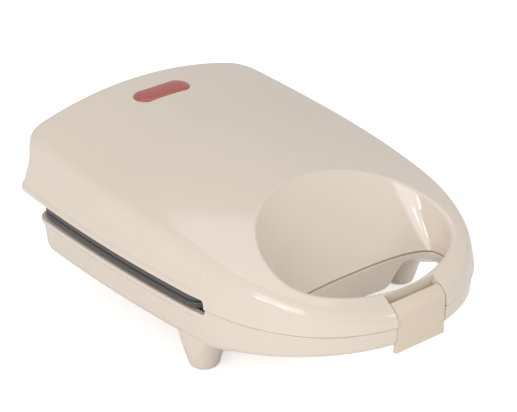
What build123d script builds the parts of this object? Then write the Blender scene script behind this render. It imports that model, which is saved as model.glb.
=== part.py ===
"""Electric pie maker: hinged lid and base with a ring handle, four-pie plates and a front latch.

Millimetres. +Z is up, the handle and latch face -Y, the hinge is at +Y, and X = 0 is the plane of
symmetry. The origin is on the table, below the middle of the closed appliance.
"""

import os
from math import cos, radians, sin, tan

from build123d import *

os.makedirs("parts", exist_ok=True)

# Housing outline seen from above
nose_y = -119.0
nose_radius, nose_arc = 81.0, 25.0
shoulder_radius, shoulder_arc = 69.0, 36.8
flank_radius, flank_arc = 103.0, 22.3
lid_corner = (79.6, 114.0)
lid_rear_y = 118.6
lid_corner_round = 12.0
base_corner = (82.0, 94.5)
base_rear_y = 96.0
base_corner_round = 12.0
base_inset = 0.8

# Heights
seam_z = 41.5
seam_gap = 0.4
body_floor_z = 18.0
lid_edge_z = 45.9
base_lip_z = 38.8
notch_y = -46.5

# Lid form
crown_top_z = 88.6
crown_rear_y = 117.0
crown_run = 223.0
crown_fall = 9.7
crown_dip = 23.9
crown_radius = 245.0
crown_round = 7.0
lid_draft_angle = 8.7
lid_lean = 0.07
form_top_z = 92.0

# Base form
base_draft_angle = 4.0
base_round = 6.0
keel_start_y = -44.0
keel_nose_z = 29.5
keel_blend_radius = 60.0

# Finger hole and scoop
hole_centre_y = -78.0
hole_half_width = 48.5
hole_front = 25.6
hole_back = 12.0
hole_squareness = 2.7
scoop_centre_y = -69.0
scoop_half_width = 55.0
scoop_front = 35.0
scoop_back = 44.0
scoop_top_z = 80.0
scoop_power = 0.75
scoop_squareness = 2.25

# Plastic walls and edge beads
wall = 2.6
bead_out = 1.0
bead_height = 3.0
nose_block_half_width = 21.0
nose_block_y = -99.0

# Cooking plates
plate_inset = 1.2
plate_step = 3.0
plate_front_y = -42.5
plate_rear_y = 91.0
plate_mid_y = 22.25
plate_corner_round = 9.0
plate_gap = 0.3
plate_rise = 0.4
plate_web = 3.0
plate_skirt = 2.6
lower_rim_height = 6.3
upper_rim_height = 7.0
well_pitch_x = 73.0
well_pitch_y = 60.0
well_radius = 26.0
well_depth = 13.5
dome_depth = 9.0
well_draft_angle = 12.0
well_wall = 2.2
well_round = 4.0
crimp_offset = 2.0
crimp_width = 2.0
crimp_height = 0.8
crimp_gap = 0.3

# Screws through the feet and the plate corners
front_corner = (66.0, -32.0)
rear_corner = (53.0, 81.5)
screw_radius = 1.75
screw_play = 0.25
screw_head_radius = 3.4
screw_head_height = 2.4
plate_boss_radius = 4.2
housing_boss_radius = 4.5
seat = 0.05
thread_play = 0.03
lower_boss_z = 30.0
upper_boss_z = 52.0
screw_grip = 8.0
hole_spare = 0.6

# Feet
foot_root_radius = 14.0
foot_tip_radius = 7.4
foot_tip_z = 0.7
foot_round = 1.6
foot_root_z = 24.0
foot_clip = 0.8
foot_bore_radius = 3.9
foot_bore_top_z = 12.0
pad_radius = 5.4
pad_thickness = 1.5
pad_play = 0.1

# Heating elements
heater_radius = 3.2
heater_leg_x = 4.2
heater_front_y = -30.5
heater_rear_y = 74.0
heater_pin_radius = 1.3
heater_pin_length = 5.0
strap_reach = 51.0
strap_screw_x = 12.0
strap_width = 7.0
strap_thickness = 1.0
strap_boss_radius = 3.0
small_screw_radius = 1.4
small_head_radius = 2.7
small_head_height = 1.6
small_screw_grip = 4.0

# Heat shields
shield_thickness = 0.6
shield_half_width = 58.0
shield_front_y, shield_rear_y = -38.0, 62.0
shield_gap = 2.0
shield_screw_ys = (-16.0, 45.0)
shield_post_radius = 3.6
shield_clear = 2.0

# Thermostat and thermal fuse
sensor_x = 57.0
thermostat_radius, thermostat_height = 7.0, 8.5
thermostat_tab = (5.0, 0.8, 6.0)
thermostat_tab_x = 3.5
thermostat_flange = (25.6, 6.4, 0.8)
thermostat_screw_offset = 10.0
thermostat_screw_grip = 2.0
fuse_radius, fuse_length = 2.2, 14.0
fuse_clip_thickness = 0.8
fuse_clip_width = 7.0
fuse_clip_foot = 7.0
fuse_lead = 2.0

# Mains entry
inlet_z = 27.5
inlet_bore_radius = 3.4
inlet_collar_radius = 5.4
inlet_flange_radius = 7.2
inlet_flange_thickness = 2.0
inlet_tail = 0.8
inlet_pad_radius = 8.2
inlet_play = 0.05
clamp_y = 87.0
clamp_half_width = 13.0
clamp_depth = 5.0
clamp_thickness = 2.2
clamp_post_x = 9.5
clamp_post_radius = 2.5
saddle_half_width = 5.0
terminal_y = 70.0
terminal_size = (24.0, 9.0, 8.0)
terminal_pitch = 8.0
terminal_screw_radius = 1.6
terminal_screw_height = 1.2
rib_thickness = 1.6
rib_height = 3.0

# Hinge
hinge_y, hinge_z = 104.0, 44.0
hinge_x = 46.0
hinge_pin_radius = 2.4
hinge_pin_play = 0.06
hinge_ear_radius = 5.4
hinge_ear_thickness = 4.0
hinge_knuckle_width = 9.0
hinge_side_gap = 0.3
hinge_rib_front = 5.2

# Latch
latch_width = 32.0
latch_side_gap = 0.5
latch_face_y = -116.2
latch_thickness = 2.4
latch_bottom_z = 26.2
latch_pin_y, latch_pin_z = -109.8, 45.1
latch_pin_radius = 1.25
latch_pin_play = 0.06
latch_pin_end = 3.5
latch_barrel_radius = 3.1
latch_shoulder_radius = 6.4
latch_pocket_gap = 0.5
latch_catch_height = 2.0
latch_catch_clear = 0.1

# Indicator
lens_y = 89.0
lens_length, lens_width = 35.0, 13.0
lens_rim = 1.5
lens_skin = 1.6
lens_plug_depth = 6.0
lens_proud = 0.8
lens_play = 0.1
lens_rim_thickness = 1.2
lamp_radius = 2.6
lamp_length = 12.0
lamp_x = 8.5
lamp_play = 0.1
lamp_cup_wall = 1.2
lamp_cup_height = 5.0
lamp_holder_size = (50.0, 11.0, 2.0)
lamp_holder_drop = 14.0
holder_post_x = 21.5
holder_post_radius = 3.2

# Wiring
wire_radius = 1.0
wire_bend = 2.6
wire_gap = 0.3
base_wire_x = 68.0

# Values worked out from the sizes above
lid_bottom_z = seam_z + seam_gap / 2
base_top_z = seam_z - seam_gap / 2
lower_face_z = seam_z + plate_rise - plate_gap / 2
upper_face_z = lower_face_z + plate_gap
floor_top_z = body_floor_z + wall
corner_spots = [(side * x, y) for side in (-1, 1) for x, y in (front_corner, rear_corner)]
well_spots = [(x, plate_mid_y + y) for x in (-well_pitch_x / 2, well_pitch_x / 2)
              for y in (-well_pitch_y / 2, well_pitch_y / 2)]
strap_ys = [plate_mid_y + y for y in (-strap_reach, 0, strap_reach)]
strap_spots = [(x, y) for x in (-strap_screw_x, strap_screw_x) for y in strap_ys]
shield_spots = [(0, y) for y in shield_screw_ys]
thermostat_spots = [(sensor_x + side * thermostat_screw_offset, plate_mid_y) for side in (-1, 1)]
fuse_screw_spot = (fuse_radius + fuse_clip_thickness + fuse_clip_foot / 2 - sensor_x, plate_mid_y)
heater_drop = plate_web + seat + heater_radius
strap_drop = heater_drop + heater_radius + seat
lower_strap_z = lower_face_z - strap_drop
upper_strap_z = upper_face_z + strap_drop
lower_shield_z = lower_face_z - well_depth - well_wall - shield_gap - shield_thickness
upper_shield_z = upper_face_z + dome_depth + well_wall + shield_gap
holder_top_z = crown_top_z - lamp_holder_drop
holder_spots = [(x, lens_y) for x in (-holder_post_x, holder_post_x)]
lamp_spots = [(x, lens_y) for x in (-lamp_x, lamp_x)]
clamp_spots = [(x, clamp_y) for x in (-clamp_post_x, clamp_post_x)]
clamp_low_z = inlet_z + inlet_bore_radius
inlet_pad_y = base_rear_y + seat
inlet_inner_y = inlet_pad_y - 2 * wall
latch_inner_y = latch_face_y + latch_thickness
latch_back_y = latch_inner_y + latch_pocket_gap
latch_slot_y = latch_pin_y + latch_barrel_radius + latch_pocket_gap
knuckle_reach = hinge_knuckle_width / 2
ear_start = knuckle_reach + hinge_side_gap
ear_end = ear_start + hinge_ear_thickness
above = 2 * crown_top_z


def crown_height(y):
    """Height of the lid's crown on the centre line: a slow fall that steepens towards the nose."""
    run = (crown_rear_y - y) / crown_run
    return crown_top_z - crown_fall * run - crown_dip * run**5


def crown_at(x, y):
    """Height of the lid's crown anywhere."""
    return crown_height(y) - x**2 / (2 * crown_radius)


def outline(inset, corner, rear_y, corner_round):
    """Housing outline from above, drawn in by an inset: arcs round the nose, long sides, a bowed rear."""
    corner_x_in, corner_y_in = corner[0] - inset, corner[1] - inset
    with BuildSketch() as plan:
        with BuildLine():
            nose = JernArc((0, nose_y + inset), (1, 0), nose_radius - inset, nose_arc)
            shoulder = JernArc(nose @ 1, nose % 1, shoulder_radius - inset, shoulder_arc)
            flank = JernArc(shoulder @ 1, shoulder % 1, flank_radius - inset, flank_arc)
            TangentArc(flank @ 1, (corner_x_in, corner_y_in), tangent=flank % 1)
            TangentArc((0, rear_y - inset), (corner_x_in, corner_y_in), tangent=(1, 0))
            mirror(about=Plane.YZ)
        make_face()
        corners = plan.vertices().filter_by(lambda v: abs(v.Y - corner_y_in) < 0.01)
        fillet(corners, corner_round)
    return plan.sketch


def lid_outline(inset, z=lid_bottom_z):
    """Lid's outline at a height, from its wall's draft."""
    draft = tan(radians(lid_draft_angle)) * (z - lid_bottom_z)
    return outline(inset + draft, lid_corner, lid_rear_y, lid_corner_round - inset)


def base_outline(inset, z=base_top_z):
    """Base's outline at a height, from its wall's draft."""
    draft = base_inset + tan(radians(base_draft_angle)) * (base_top_z - z)
    return outline(inset + draft, base_corner, base_rear_y, base_corner_round - inset)


def egg(z, grow):
    """Closed outline of the finger hole at the seam, widening to the scoop's rim higher up."""
    rise = max(0.0, (z - seam_z) / (scoop_top_z - seam_z))
    blend = min(rise, 1.0)
    centre_y = hole_centre_y + (scoop_centre_y - hole_centre_y) * blend
    half_width = hole_half_width + (scoop_half_width - hole_half_width) * blend
    front = hole_centre_y - hole_front
    front += (scoop_centre_y - scoop_front - front) * blend
    back = hole_centre_y + hole_back
    back += (scoop_centre_y + scoop_back - back) * rise**scoop_power
    squareness = hole_squareness + (scoop_squareness - hole_squareness) * min(1.0, 2 * blend)
    points = []
    for step in range(24):
        angle = radians(15 * step)
        power = 2 / squareness if sin(angle) > 0 else 1
        reach = back - centre_y if sin(angle) > 0 else centre_y - front
        across = abs(cos(angle)) ** power * (1 if cos(angle) > 0 else -1)
        along = abs(sin(angle)) ** power * (1 if sin(angle) > 0 else -1)
        points.append((across * (half_width + grow), centre_y + along * (reach + grow)))
    with BuildSketch() as shape:
        with BuildLine():
            Spline(*points, periodic=True)
        make_face()
    return shape.sketch


def scoop_cutter(grow):
    """Space of the finger hole and of the scoop above it, grown by a wall."""
    with BuildPart() as cutter:
        with BuildSketch(Plane.XY.offset(seam_z)):
            add(egg(seam_z, grow))
        extrude(amount=-seam_z)
        for z in (seam_z, 48.0, 57.0, 68.0, scoop_top_z, form_top_z):
            with BuildSketch(Plane.XY.offset(z)):
                add(egg(z, grow))
        loft()
    return cutter.part


def crown_solid(skin):
    """Everything below the lid's crown, lowered by the skin."""
    side = 100.0
    with BuildPart() as solid:
        for y in (125, 75, 25, -15, -50, -85, -125):
            with BuildSketch(Plane.XZ.offset(-y)):
                top = crown_height(y) - skin
                shoulder_z = crown_at(side, y) - skin
                with BuildLine():
                    ThreePointArc((-side, shoulder_z), (0, top), (side, shoulder_z))
                    Polyline((side, shoulder_z), (side, 0), (-side, 0), (-side, shoulder_z))
                make_face()
        loft()
    return solid.part


def lid_form(skin):
    """Lid's outer form, or the cavity that a wall of this skin leaves inside it."""
    with BuildPart() as form:
        for z in (lid_bottom_z, form_top_z):
            with BuildSketch(Plane((0, lid_lean * (z - lid_bottom_z), z))):
                add(lid_outline(skin, z))
        loft(ruled=True)
        add(crown_solid(skin), mode=Mode.INTERSECT)
        fillet(form.faces().sort_by(Axis.Z)[-1].edges(), crown_round - skin)
    return form.part


def base_form(skin):
    """Base's outer form, or the cavity that a wall of this skin leaves inside it."""
    bottom = body_floor_z + skin
    slope = (keel_nose_z - body_floor_z) / (keel_start_y - nose_y)
    far = 200.0
    with BuildPart() as form:
        for z in (bottom, base_top_z):
            with BuildSketch(Plane.XY.offset(z)):
                add(base_outline(skin, z))
        loft(ruled=True)
        with BuildSketch(Plane.YZ):
            with BuildLine():
                FilletPolyline(
                    (far, bottom),
                    (keel_start_y, bottom),
                    (keel_start_y - far, bottom + slope * far),
                    radius=keel_blend_radius,
                )
                Polyline((far, bottom), (far, -far), (keel_start_y - far, -far),
                         (keel_start_y - far, bottom + slope * far))
            make_face()
        extrude(amount=far, both=True, mode=Mode.SUBTRACT)
        under = form.faces().filter_by(lambda f: f.normal_at().Z < -0.8)
        fillet(under.edges().filter_by(Axis.X, reverse=True), base_round - skin)
    return form.part


def bars(spots, start, end, radius, along=Plane.XY):
    """Round bars at spots of a plane, from one distance over it to another."""
    with BuildPart() as group:
        with BuildSketch(along.offset(start)):
            with Locations(*spots):
                Circle(radius)
        extrude(amount=end - start)
    return group.part


def block(x_range, y_range, z_range):
    """Straight block between two values of each axis."""
    with BuildPart() as solid:
        with BuildSketch(Plane.XY.offset(z_range[0])):
            with Locations((sum(x_range) / 2, sum(y_range) / 2)):
                Rectangle(x_range[1] - x_range[0], y_range[1] - y_range[0])
        extrude(amount=z_range[1] - z_range[0])
    return solid.part


def screws(spots, head_z, tip_z, radius, head_radius, head_height):
    """Cross-head screws: each head bears at head_z and each shank ends at tip_z."""
    outward = -1 if tip_z > head_z else 1
    slot = head_radius / 4
    with BuildPart() as group:
        add(bars(spots, head_z, head_z + outward * head_height, head_radius))
        add(bars(spots, head_z, tip_z, radius))
        with BuildSketch(Plane.XY.offset(head_z + outward * head_height)):
            with Locations(*spots):
                Rectangle(head_radius, slot)
                Rectangle(slot, head_radius)
        extrude(amount=-outward * head_height / 2, mode=Mode.SUBTRACT)
    return group.part


def tube_path(points, radius, bend):
    """Round wire or rod along straight runs joined by arcs."""
    with BuildPart() as tube:
        with BuildLine() as path:
            FilletPolyline(*points, radius=bend)
        with BuildSketch(Plane(path.line @ 0, z_dir=path.line % 0)):
            Circle(radius)
        sweep()
    return tube.part


def plate_outline(step, inset=0.0):
    """Cooking plate's outline: the housing's sides, a step inside them, between a straight front and rear."""
    front, rear = plate_front_y + inset, plate_rear_y - step - inset
    with BuildSketch() as plan:
        add(lid_outline(plate_inset + step + inset))
        with Locations((0, (front + rear) / 2)):
            Rectangle(above, rear - front, mode=Mode.INTERSECT)
        fillet(plan.vertices(), plate_corner_round - inset)
    return plan.sketch


def well_space(depth, grow):
    """Round pocket down from z = 0 with leaning sides and a rounded floor, grown by a wall."""
    lean = tan(radians(well_draft_angle))
    rim = well_radius + grow / cos(radians(well_draft_angle))
    floor = depth + grow
    with BuildPart() as space:
        with BuildSketch(Plane.XZ):
            with BuildLine():
                Polyline((0, -floor), (0, 0), (rim, 0))
                FilletPolyline((rim, 0), (rim - lean * floor, -floor), (0, -floor),
                               radius=well_round + grow)
            make_face()
        revolve(axis=Axis.Z)
    return space.part


def plate(flange_height, rim_height, depth, spot_radius, boss_reach, strap_boss_reach):
    """Cooking plate with its face at z = 0: flange, rim, four pockets and the bosses under its web."""
    with BuildPart() as casting:
        with BuildSketch(Plane.XY):
            add(plate_outline(0))
        extrude(amount=-flange_height)
        with BuildSketch(Plane.XY):
            add(plate_outline(plate_step))
        extrude(amount=-rim_height)
        with BuildSketch(Plane.XY.offset(-plate_web)):
            add(plate_outline(plate_step, plate_skirt))
        extrude(amount=-rim_height, mode=Mode.SUBTRACT)
        with Locations(*[(x, y, 0) for x, y in well_spots]):
            add(well_space(depth, well_wall))
        add(bars(corner_spots, -plate_web, -boss_reach, spot_radius))
        add(bars(strap_spots, -plate_web, -strap_boss_reach, strap_boss_radius))
        with Locations(*[(x, y, 0) for x, y in well_spots]):
            add(well_space(depth, 0), mode=Mode.SUBTRACT)
    return casting.part


def crimp_ring(width, low, high):
    """Rings round the four pockets, for the ridge that crimps a pie's edge or for its groove."""
    middle = well_radius + crimp_offset
    with BuildPart() as rings:
        with BuildSketch(Plane.XY.offset(low)):
            with Locations(*well_spots):
                Circle(middle + width / 2)
                Circle(middle - width / 2, mode=Mode.SUBTRACT)
        extrude(amount=high - low)
    return rings.part


def heater(middle_z):
    """Hairpin tube element: two long legs, a bend at the front and a pin at each rear end."""
    with BuildPart() as element:
        with BuildLine(Plane.XY.offset(middle_z)) as path:
            leg = Line((-heater_leg_x, heater_rear_y), (-heater_leg_x, heater_front_y))
            bend = JernArc(leg @ 1, leg % 1, heater_leg_x, 180)
            Line(bend @ 1, (heater_leg_x, heater_rear_y))
        with BuildSketch(Plane(path.line @ 0, z_dir=path.line % 0)):
            Circle(heater_radius)
        sweep()
        pin_end = -heater_rear_y - heater_pin_length
        pins = [(x, middle_z) for x in (-heater_leg_x, heater_leg_x)]
        add(bars(pins, -heater_rear_y, pin_end, heater_pin_radius, Plane.XZ))
    return element.part


def straps(low, high):
    """Three flat straps across the element, drilled for their screws."""
    half = strap_screw_x + strap_boss_radius
    with BuildPart() as group:
        for y in strap_ys:
            add(block((-half, half), (y - strap_width / 2, y + strap_width / 2), (low, high)))
        drill = small_screw_radius + screw_play
        add(bars(strap_spots, low, high, drill), mode=Mode.SUBTRACT)
    return group.part


def shield(low):
    """Flat heat shield, drilled for its two screws."""
    with BuildPart() as sheet:
        side = (-shield_half_width, shield_half_width)
        add(block(side, (shield_front_y, shield_rear_y), (low, low + shield_thickness)))
        fillet(sheet.edges().filter_by(Axis.Z), plate_corner_round)
        drill = small_screw_radius + screw_play
        add(bars(shield_spots, low, low + shield_thickness, drill), mode=Mode.SUBTRACT)
    return sheet.part


def foot_solid(x, y):
    """Tapered foot down from the body to its tip, kept inside the body's side."""
    with BuildPart() as foot:
        with BuildSketch(Plane((x, y, foot_tip_z))):
            Circle(foot_tip_radius)
        with BuildSketch(Plane((x, y, foot_root_z))):
            Circle(foot_root_radius)
        loft()
        fillet(foot.edges().sort_by(Axis.Z)[0], foot_round)
        with BuildSketch():
            add(base_outline(foot_clip, body_floor_z))
        extrude(amount=foot_root_z, mode=Mode.INTERSECT)
    return foot.part


def hinge_arm(start, end):
    """Hinge ear of the base: a round end about the pin and an arm back to the rear wall."""
    wall_y = base_rear_y - base_inset - wall
    slant = hinge_ear_radius * sin(radians(45))
    with BuildPart() as arm:
        with BuildSketch(Plane.YZ.offset(start)):
            with Locations((hinge_y, hinge_z)):
                Circle(hinge_ear_radius)
            with BuildLine():
                Polyline(
                    (hinge_y, hinge_z),
                    (hinge_y + slant, hinge_z - slant),
                    (wall_y, inlet_z),
                    (wall_y, base_lip_z),
                    (hinge_y - hinge_ear_radius * sin(radians(60)), hinge_z + hinge_ear_radius / 2),
                    close=True,
                )
            make_face()
        extrude(amount=end - start)
    return arm.part


def edge_bead(z, height, form_outline):
    """Outward bead band round the housing's edge behind the notch."""
    with BuildPart() as bead:
        with BuildSketch(Plane.XY.offset(z)):
            add(form_outline(-bead_out, z))
            add(form_outline(wall / 2, z), mode=Mode.SUBTRACT)
        extrude(amount=height)
        add(block((-above, above), (-above, notch_y), (0, above)), mode=Mode.SUBTRACT)
    return bead.part


finger_hole = scoop_cutter(0)
hole_liner = scoop_cutter(wall)
bulkhead = block((-above, above), (notch_y - wall, notch_y), (0, above))
nose_block = block((-nose_block_half_width, nose_block_half_width), (2 * nose_y, nose_block_y), (0, above))

# Base housing
with BuildPart() as base_cavity:
    add(base_form(wall))
    add(hole_liner, mode=Mode.SUBTRACT)
    add(bulkhead, mode=Mode.SUBTRACT)
    add(nose_block, mode=Mode.SUBTRACT)
    boss_top_z = lower_boss_z - seat
    add(bars(corner_spots, 0, boss_top_z, housing_boss_radius), mode=Mode.SUBTRACT)
    add(bars(shield_spots, 0, lower_shield_z - seat, shield_post_radius), mode=Mode.SUBTRACT)
    add(bars(clamp_spots, 0, clamp_low_z - seat, clamp_post_radius), mode=Mode.SUBTRACT)
    saddle = (clamp_y - clamp_depth / 2, clamp_y + clamp_depth / 2)
    saddle_x = (-saddle_half_width, saddle_half_width)
    add(block(saddle_x, saddle, (0, inlet_z - inlet_bore_radius)), mode=Mode.SUBTRACT)
    for side in (-1, 1):
        rib_y = terminal_y + side * (terminal_size[1] / 2 + seat)
        rib = sorted((rib_y, rib_y + side * rib_thickness))
        add(block((-terminal_size[0] / 2, terminal_size[0] / 2), rib, (0, floor_top_z + rib_height)),
            mode=Mode.SUBTRACT)

with BuildPart() as base_shell:
    add(base_form(0))
    for spot in corner_spots:
        add(foot_solid(*spot))
    add(finger_hole, mode=Mode.SUBTRACT)
    add(base_cavity.part, mode=Mode.SUBTRACT)
    add(block((-above, above), (notch_y, above), (base_lip_z, above)), mode=Mode.SUBTRACT)
    add(edge_bead(base_lip_z - bead_height, bead_height, base_outline))
    add(bars([(0, inlet_z)], -inlet_pad_y, -inlet_inner_y, inlet_pad_radius, Plane.XZ))
    add(bars([(0, inlet_z)], -above, seat - inlet_inner_y, inlet_collar_radius + inlet_play, Plane.XZ),
        mode=Mode.SUBTRACT)
    for x in (-hinge_x, hinge_x):
        add(hinge_arm(x - ear_end, x - ear_start))
        add(hinge_arm(x + ear_start, x + ear_end))
        hole = hinge_pin_radius + hinge_pin_play
        add(bars([(hinge_y, hinge_z)], x - ear_end, x + ear_end, hole, Plane.YZ), mode=Mode.SUBTRACT)
    add(bars(corner_spots, 0, foot_bore_top_z, foot_bore_radius), mode=Mode.SUBTRACT)
    add(bars(corner_spots, 0, above, screw_radius + screw_play), mode=Mode.SUBTRACT)
    add(bars(corner_spots, 0, pad_thickness + seat, pad_radius + pad_play), mode=Mode.SUBTRACT)
    pilot = small_screw_radius + thread_play
    shield_pilot_z = lower_shield_z - seat - small_screw_grip
    add(bars(shield_spots, shield_pilot_z, above, pilot), mode=Mode.SUBTRACT)
    add(bars(clamp_spots, clamp_low_z - small_screw_grip - hole_spare, above, pilot), mode=Mode.SUBTRACT)
    half_channel = latch_width / 2
    add(block((-half_channel, half_channel), (2 * nose_y, latch_back_y), (0, above)), mode=Mode.SUBTRACT)


with BuildPart() as foot_pads:
    add(bars(corner_spots, 0, pad_thickness, pad_radius))
    fillet(foot_pads.edges().group_by(Axis.Z)[0], pad_thickness / 3)

# Lower cooking plate
with BuildPart() as lower_plate:
    add(plate(lower_face_z - base_lip_z - seat, lower_rim_height, well_depth, plate_boss_radius,
              lower_face_z - lower_boss_z, strap_drop - seat).moved(Location((0, 0, lower_face_z))))
    add(crimp_ring(crimp_width, lower_face_z, lower_face_z + crimp_height))
    pilot_top_z = lower_boss_z + screw_grip + hole_spare
    add(bars(corner_spots, 0, pilot_top_z, screw_radius + thread_play), mode=Mode.SUBTRACT)
    pilot = small_screw_radius + thread_play
    pilot_top_z = lower_strap_z + small_screw_grip + hole_spare
    add(bars(strap_spots, 0, pilot_top_z, pilot), mode=Mode.SUBTRACT)
    web_z = lower_face_z - plate_web
    fuse_pilot_z = web_z + thermostat_screw_grip
    add(bars([fuse_screw_spot], 0, fuse_pilot_z + thread_play, pilot), mode=Mode.SUBTRACT)

with BuildPart() as lower_plate_screws:
    add(screws(corner_spots, foot_bore_top_z - seat, lower_boss_z + screw_grip, screw_radius,
               screw_head_radius, screw_head_height))

with BuildPart() as lower_heater:
    add(heater(lower_face_z - heater_drop))

with BuildPart() as lower_heater_straps:
    add(straps(lower_strap_z - strap_thickness, lower_strap_z))

with BuildPart() as lower_strap_screws:
    head_z = lower_strap_z - strap_thickness - seat
    add(screws(strap_spots, head_z, lower_strap_z + small_screw_grip, small_screw_radius,
               small_head_radius, small_head_height))

with BuildPart() as lower_reflector:
    add(shield(lower_shield_z))

with BuildPart() as lower_reflector_screws:
    head_z = lower_shield_z + shield_thickness + seat
    add(screws(shield_spots, head_z, lower_shield_z - small_screw_grip, small_screw_radius,
               small_head_radius, small_head_height))

# Thermal fuse under the lower plate
fuse_z = web_z - seat - fuse_radius
with BuildPart() as thermal_fuse:
    fuse_ends = (fuse_length / 2 - plate_mid_y, -fuse_length / 2 - plate_mid_y)
    add(bars([(-sensor_x, fuse_z)], fuse_ends[1], fuse_ends[0], fuse_radius, Plane.XZ))
    lead = wire_radius / 2
    add(bars([(-sensor_x, fuse_z)], fuse_ends[1] - fuse_lead, fuse_ends[0] + fuse_lead, lead, Plane.XZ))

with BuildPart() as thermal_fuse_clip:
    grip = fuse_radius + seat
    outer = grip + fuse_clip_thickness
    foot_x = fuse_screw_spot[0] + fuse_clip_foot / 2
    with BuildSketch(Plane.XZ.offset(-plate_mid_y - fuse_clip_width / 2)):
        with Locations((-sensor_x, fuse_z)):
            Circle(outer)
        with Locations((-sensor_x, (fuse_z + web_z - seat) / 2)):
            Rectangle(2 * outer, web_z - seat - fuse_z)
        with Locations(((foot_x - sensor_x) / 2, web_z - seat - fuse_clip_thickness / 2)):
            Rectangle(foot_x + sensor_x, fuse_clip_thickness)
        with Locations((-sensor_x, fuse_z)):
            Circle(grip, mode=Mode.SUBTRACT)
        with Locations((-sensor_x, fuse_z + grip)):
            Rectangle(2 * grip, 2 * grip, mode=Mode.SUBTRACT)
    extrude(amount=fuse_clip_width)
    add(bars([fuse_screw_spot], 0, above, small_screw_radius + screw_play), mode=Mode.SUBTRACT)

with BuildPart() as thermal_fuse_screw:
    head_z = web_z - 2 * seat - fuse_clip_thickness
    add(screws([fuse_screw_spot], head_z, fuse_pilot_z, small_screw_radius, small_head_radius,
               small_head_height))

# Mains entry and terminal block
with BuildPart() as cord_grommet:
    spot = [(0, inlet_z)]
    flange_y = inlet_pad_y + seat
    add(bars(spot, inlet_tail - inlet_inner_y, -flange_y, inlet_collar_radius, Plane.XZ))
    add(bars(spot, -flange_y, -flange_y - inlet_flange_thickness, inlet_flange_radius, Plane.XZ))
    fillet(cord_grommet.edges().group_by(Axis.Y)[-1], inlet_flange_thickness / 3)
    add(bars(spot, -above, above, inlet_bore_radius, Plane.XZ), mode=Mode.SUBTRACT)

with BuildPart() as cord_clamp:
    add(block((-clamp_half_width, clamp_half_width), saddle, (clamp_low_z, clamp_low_z + clamp_thickness)))
    fillet(cord_clamp.edges().filter_by(Axis.Z), clamp_depth / 3)
    add(bars(clamp_spots, 0, above, small_screw_radius + screw_play), mode=Mode.SUBTRACT)

with BuildPart() as cord_clamp_screws:
    head_z = clamp_low_z + clamp_thickness + seat
    add(screws(clamp_spots, head_z, clamp_low_z - small_screw_grip, small_screw_radius,
               small_head_radius, small_head_height))

block_low_z = floor_top_z + seat
block_top_z = block_low_z + terminal_size[2]
terminal_spots = [(x, terminal_y) for x in (-terminal_pitch, 0, terminal_pitch)]
terminal_z = block_low_z + terminal_size[2] / 2
with BuildPart() as terminal_block:
    half_x, half_y = terminal_size[0] / 2, terminal_size[1] / 2
    add(block((-half_x, half_x), (terminal_y - half_y, terminal_y + half_y), (block_low_z, block_top_z)))
    add(bars(terminal_spots, block_top_z - terminal_screw_height, above, terminal_screw_radius + screw_play),
        mode=Mode.SUBTRACT)

with BuildPart() as terminal_screws:
    low = block_top_z - terminal_screw_height + seat
    add(bars(terminal_spots, low, low + terminal_screw_height, terminal_screw_radius))
    with BuildSketch(Plane.XY.offset(low + terminal_screw_height)):
        with Locations(*terminal_spots):
            Rectangle(2 * terminal_screw_radius, terminal_screw_radius / 2)
    extrude(amount=-terminal_screw_height / 2, mode=Mode.SUBTRACT)

# Hinge pins
with BuildPart() as hinge_pins:
    for x in (-hinge_x, hinge_x):
        add(bars([(hinge_y, hinge_z)], x - ear_end, x + ear_end, hinge_pin_radius, Plane.YZ))

# Lid housing
with BuildPart() as lid_cavity:
    add(lid_form(wall))
    add(hole_liner, mode=Mode.SUBTRACT)
    add(bulkhead, mode=Mode.SUBTRACT)
    add(nose_block, mode=Mode.SUBTRACT)
    add(bars(corner_spots, upper_boss_z + seat, above, housing_boss_radius), mode=Mode.SUBTRACT)
    shield_top_z = upper_shield_z + shield_thickness
    add(bars(shield_spots, shield_top_z + seat, above, shield_post_radius), mode=Mode.SUBTRACT)
    add(bars(holder_spots, holder_top_z + seat, above, holder_post_radius), mode=Mode.SUBTRACT)
    for x in (-hinge_x, hinge_x):
        web = (x - wall / 2, x + wall / 2)
        add(block(web, (hinge_y - hinge_rib_front, above), (hinge_z, above)), mode=Mode.SUBTRACT)

with BuildPart() as lens_pocket:
    with BuildSketch():
        with Locations((0, lens_y)):
            SlotOverall(lens_length - 2 * lens_rim, lens_width - 2 * lens_rim)
    extrude(amount=above)

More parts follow.
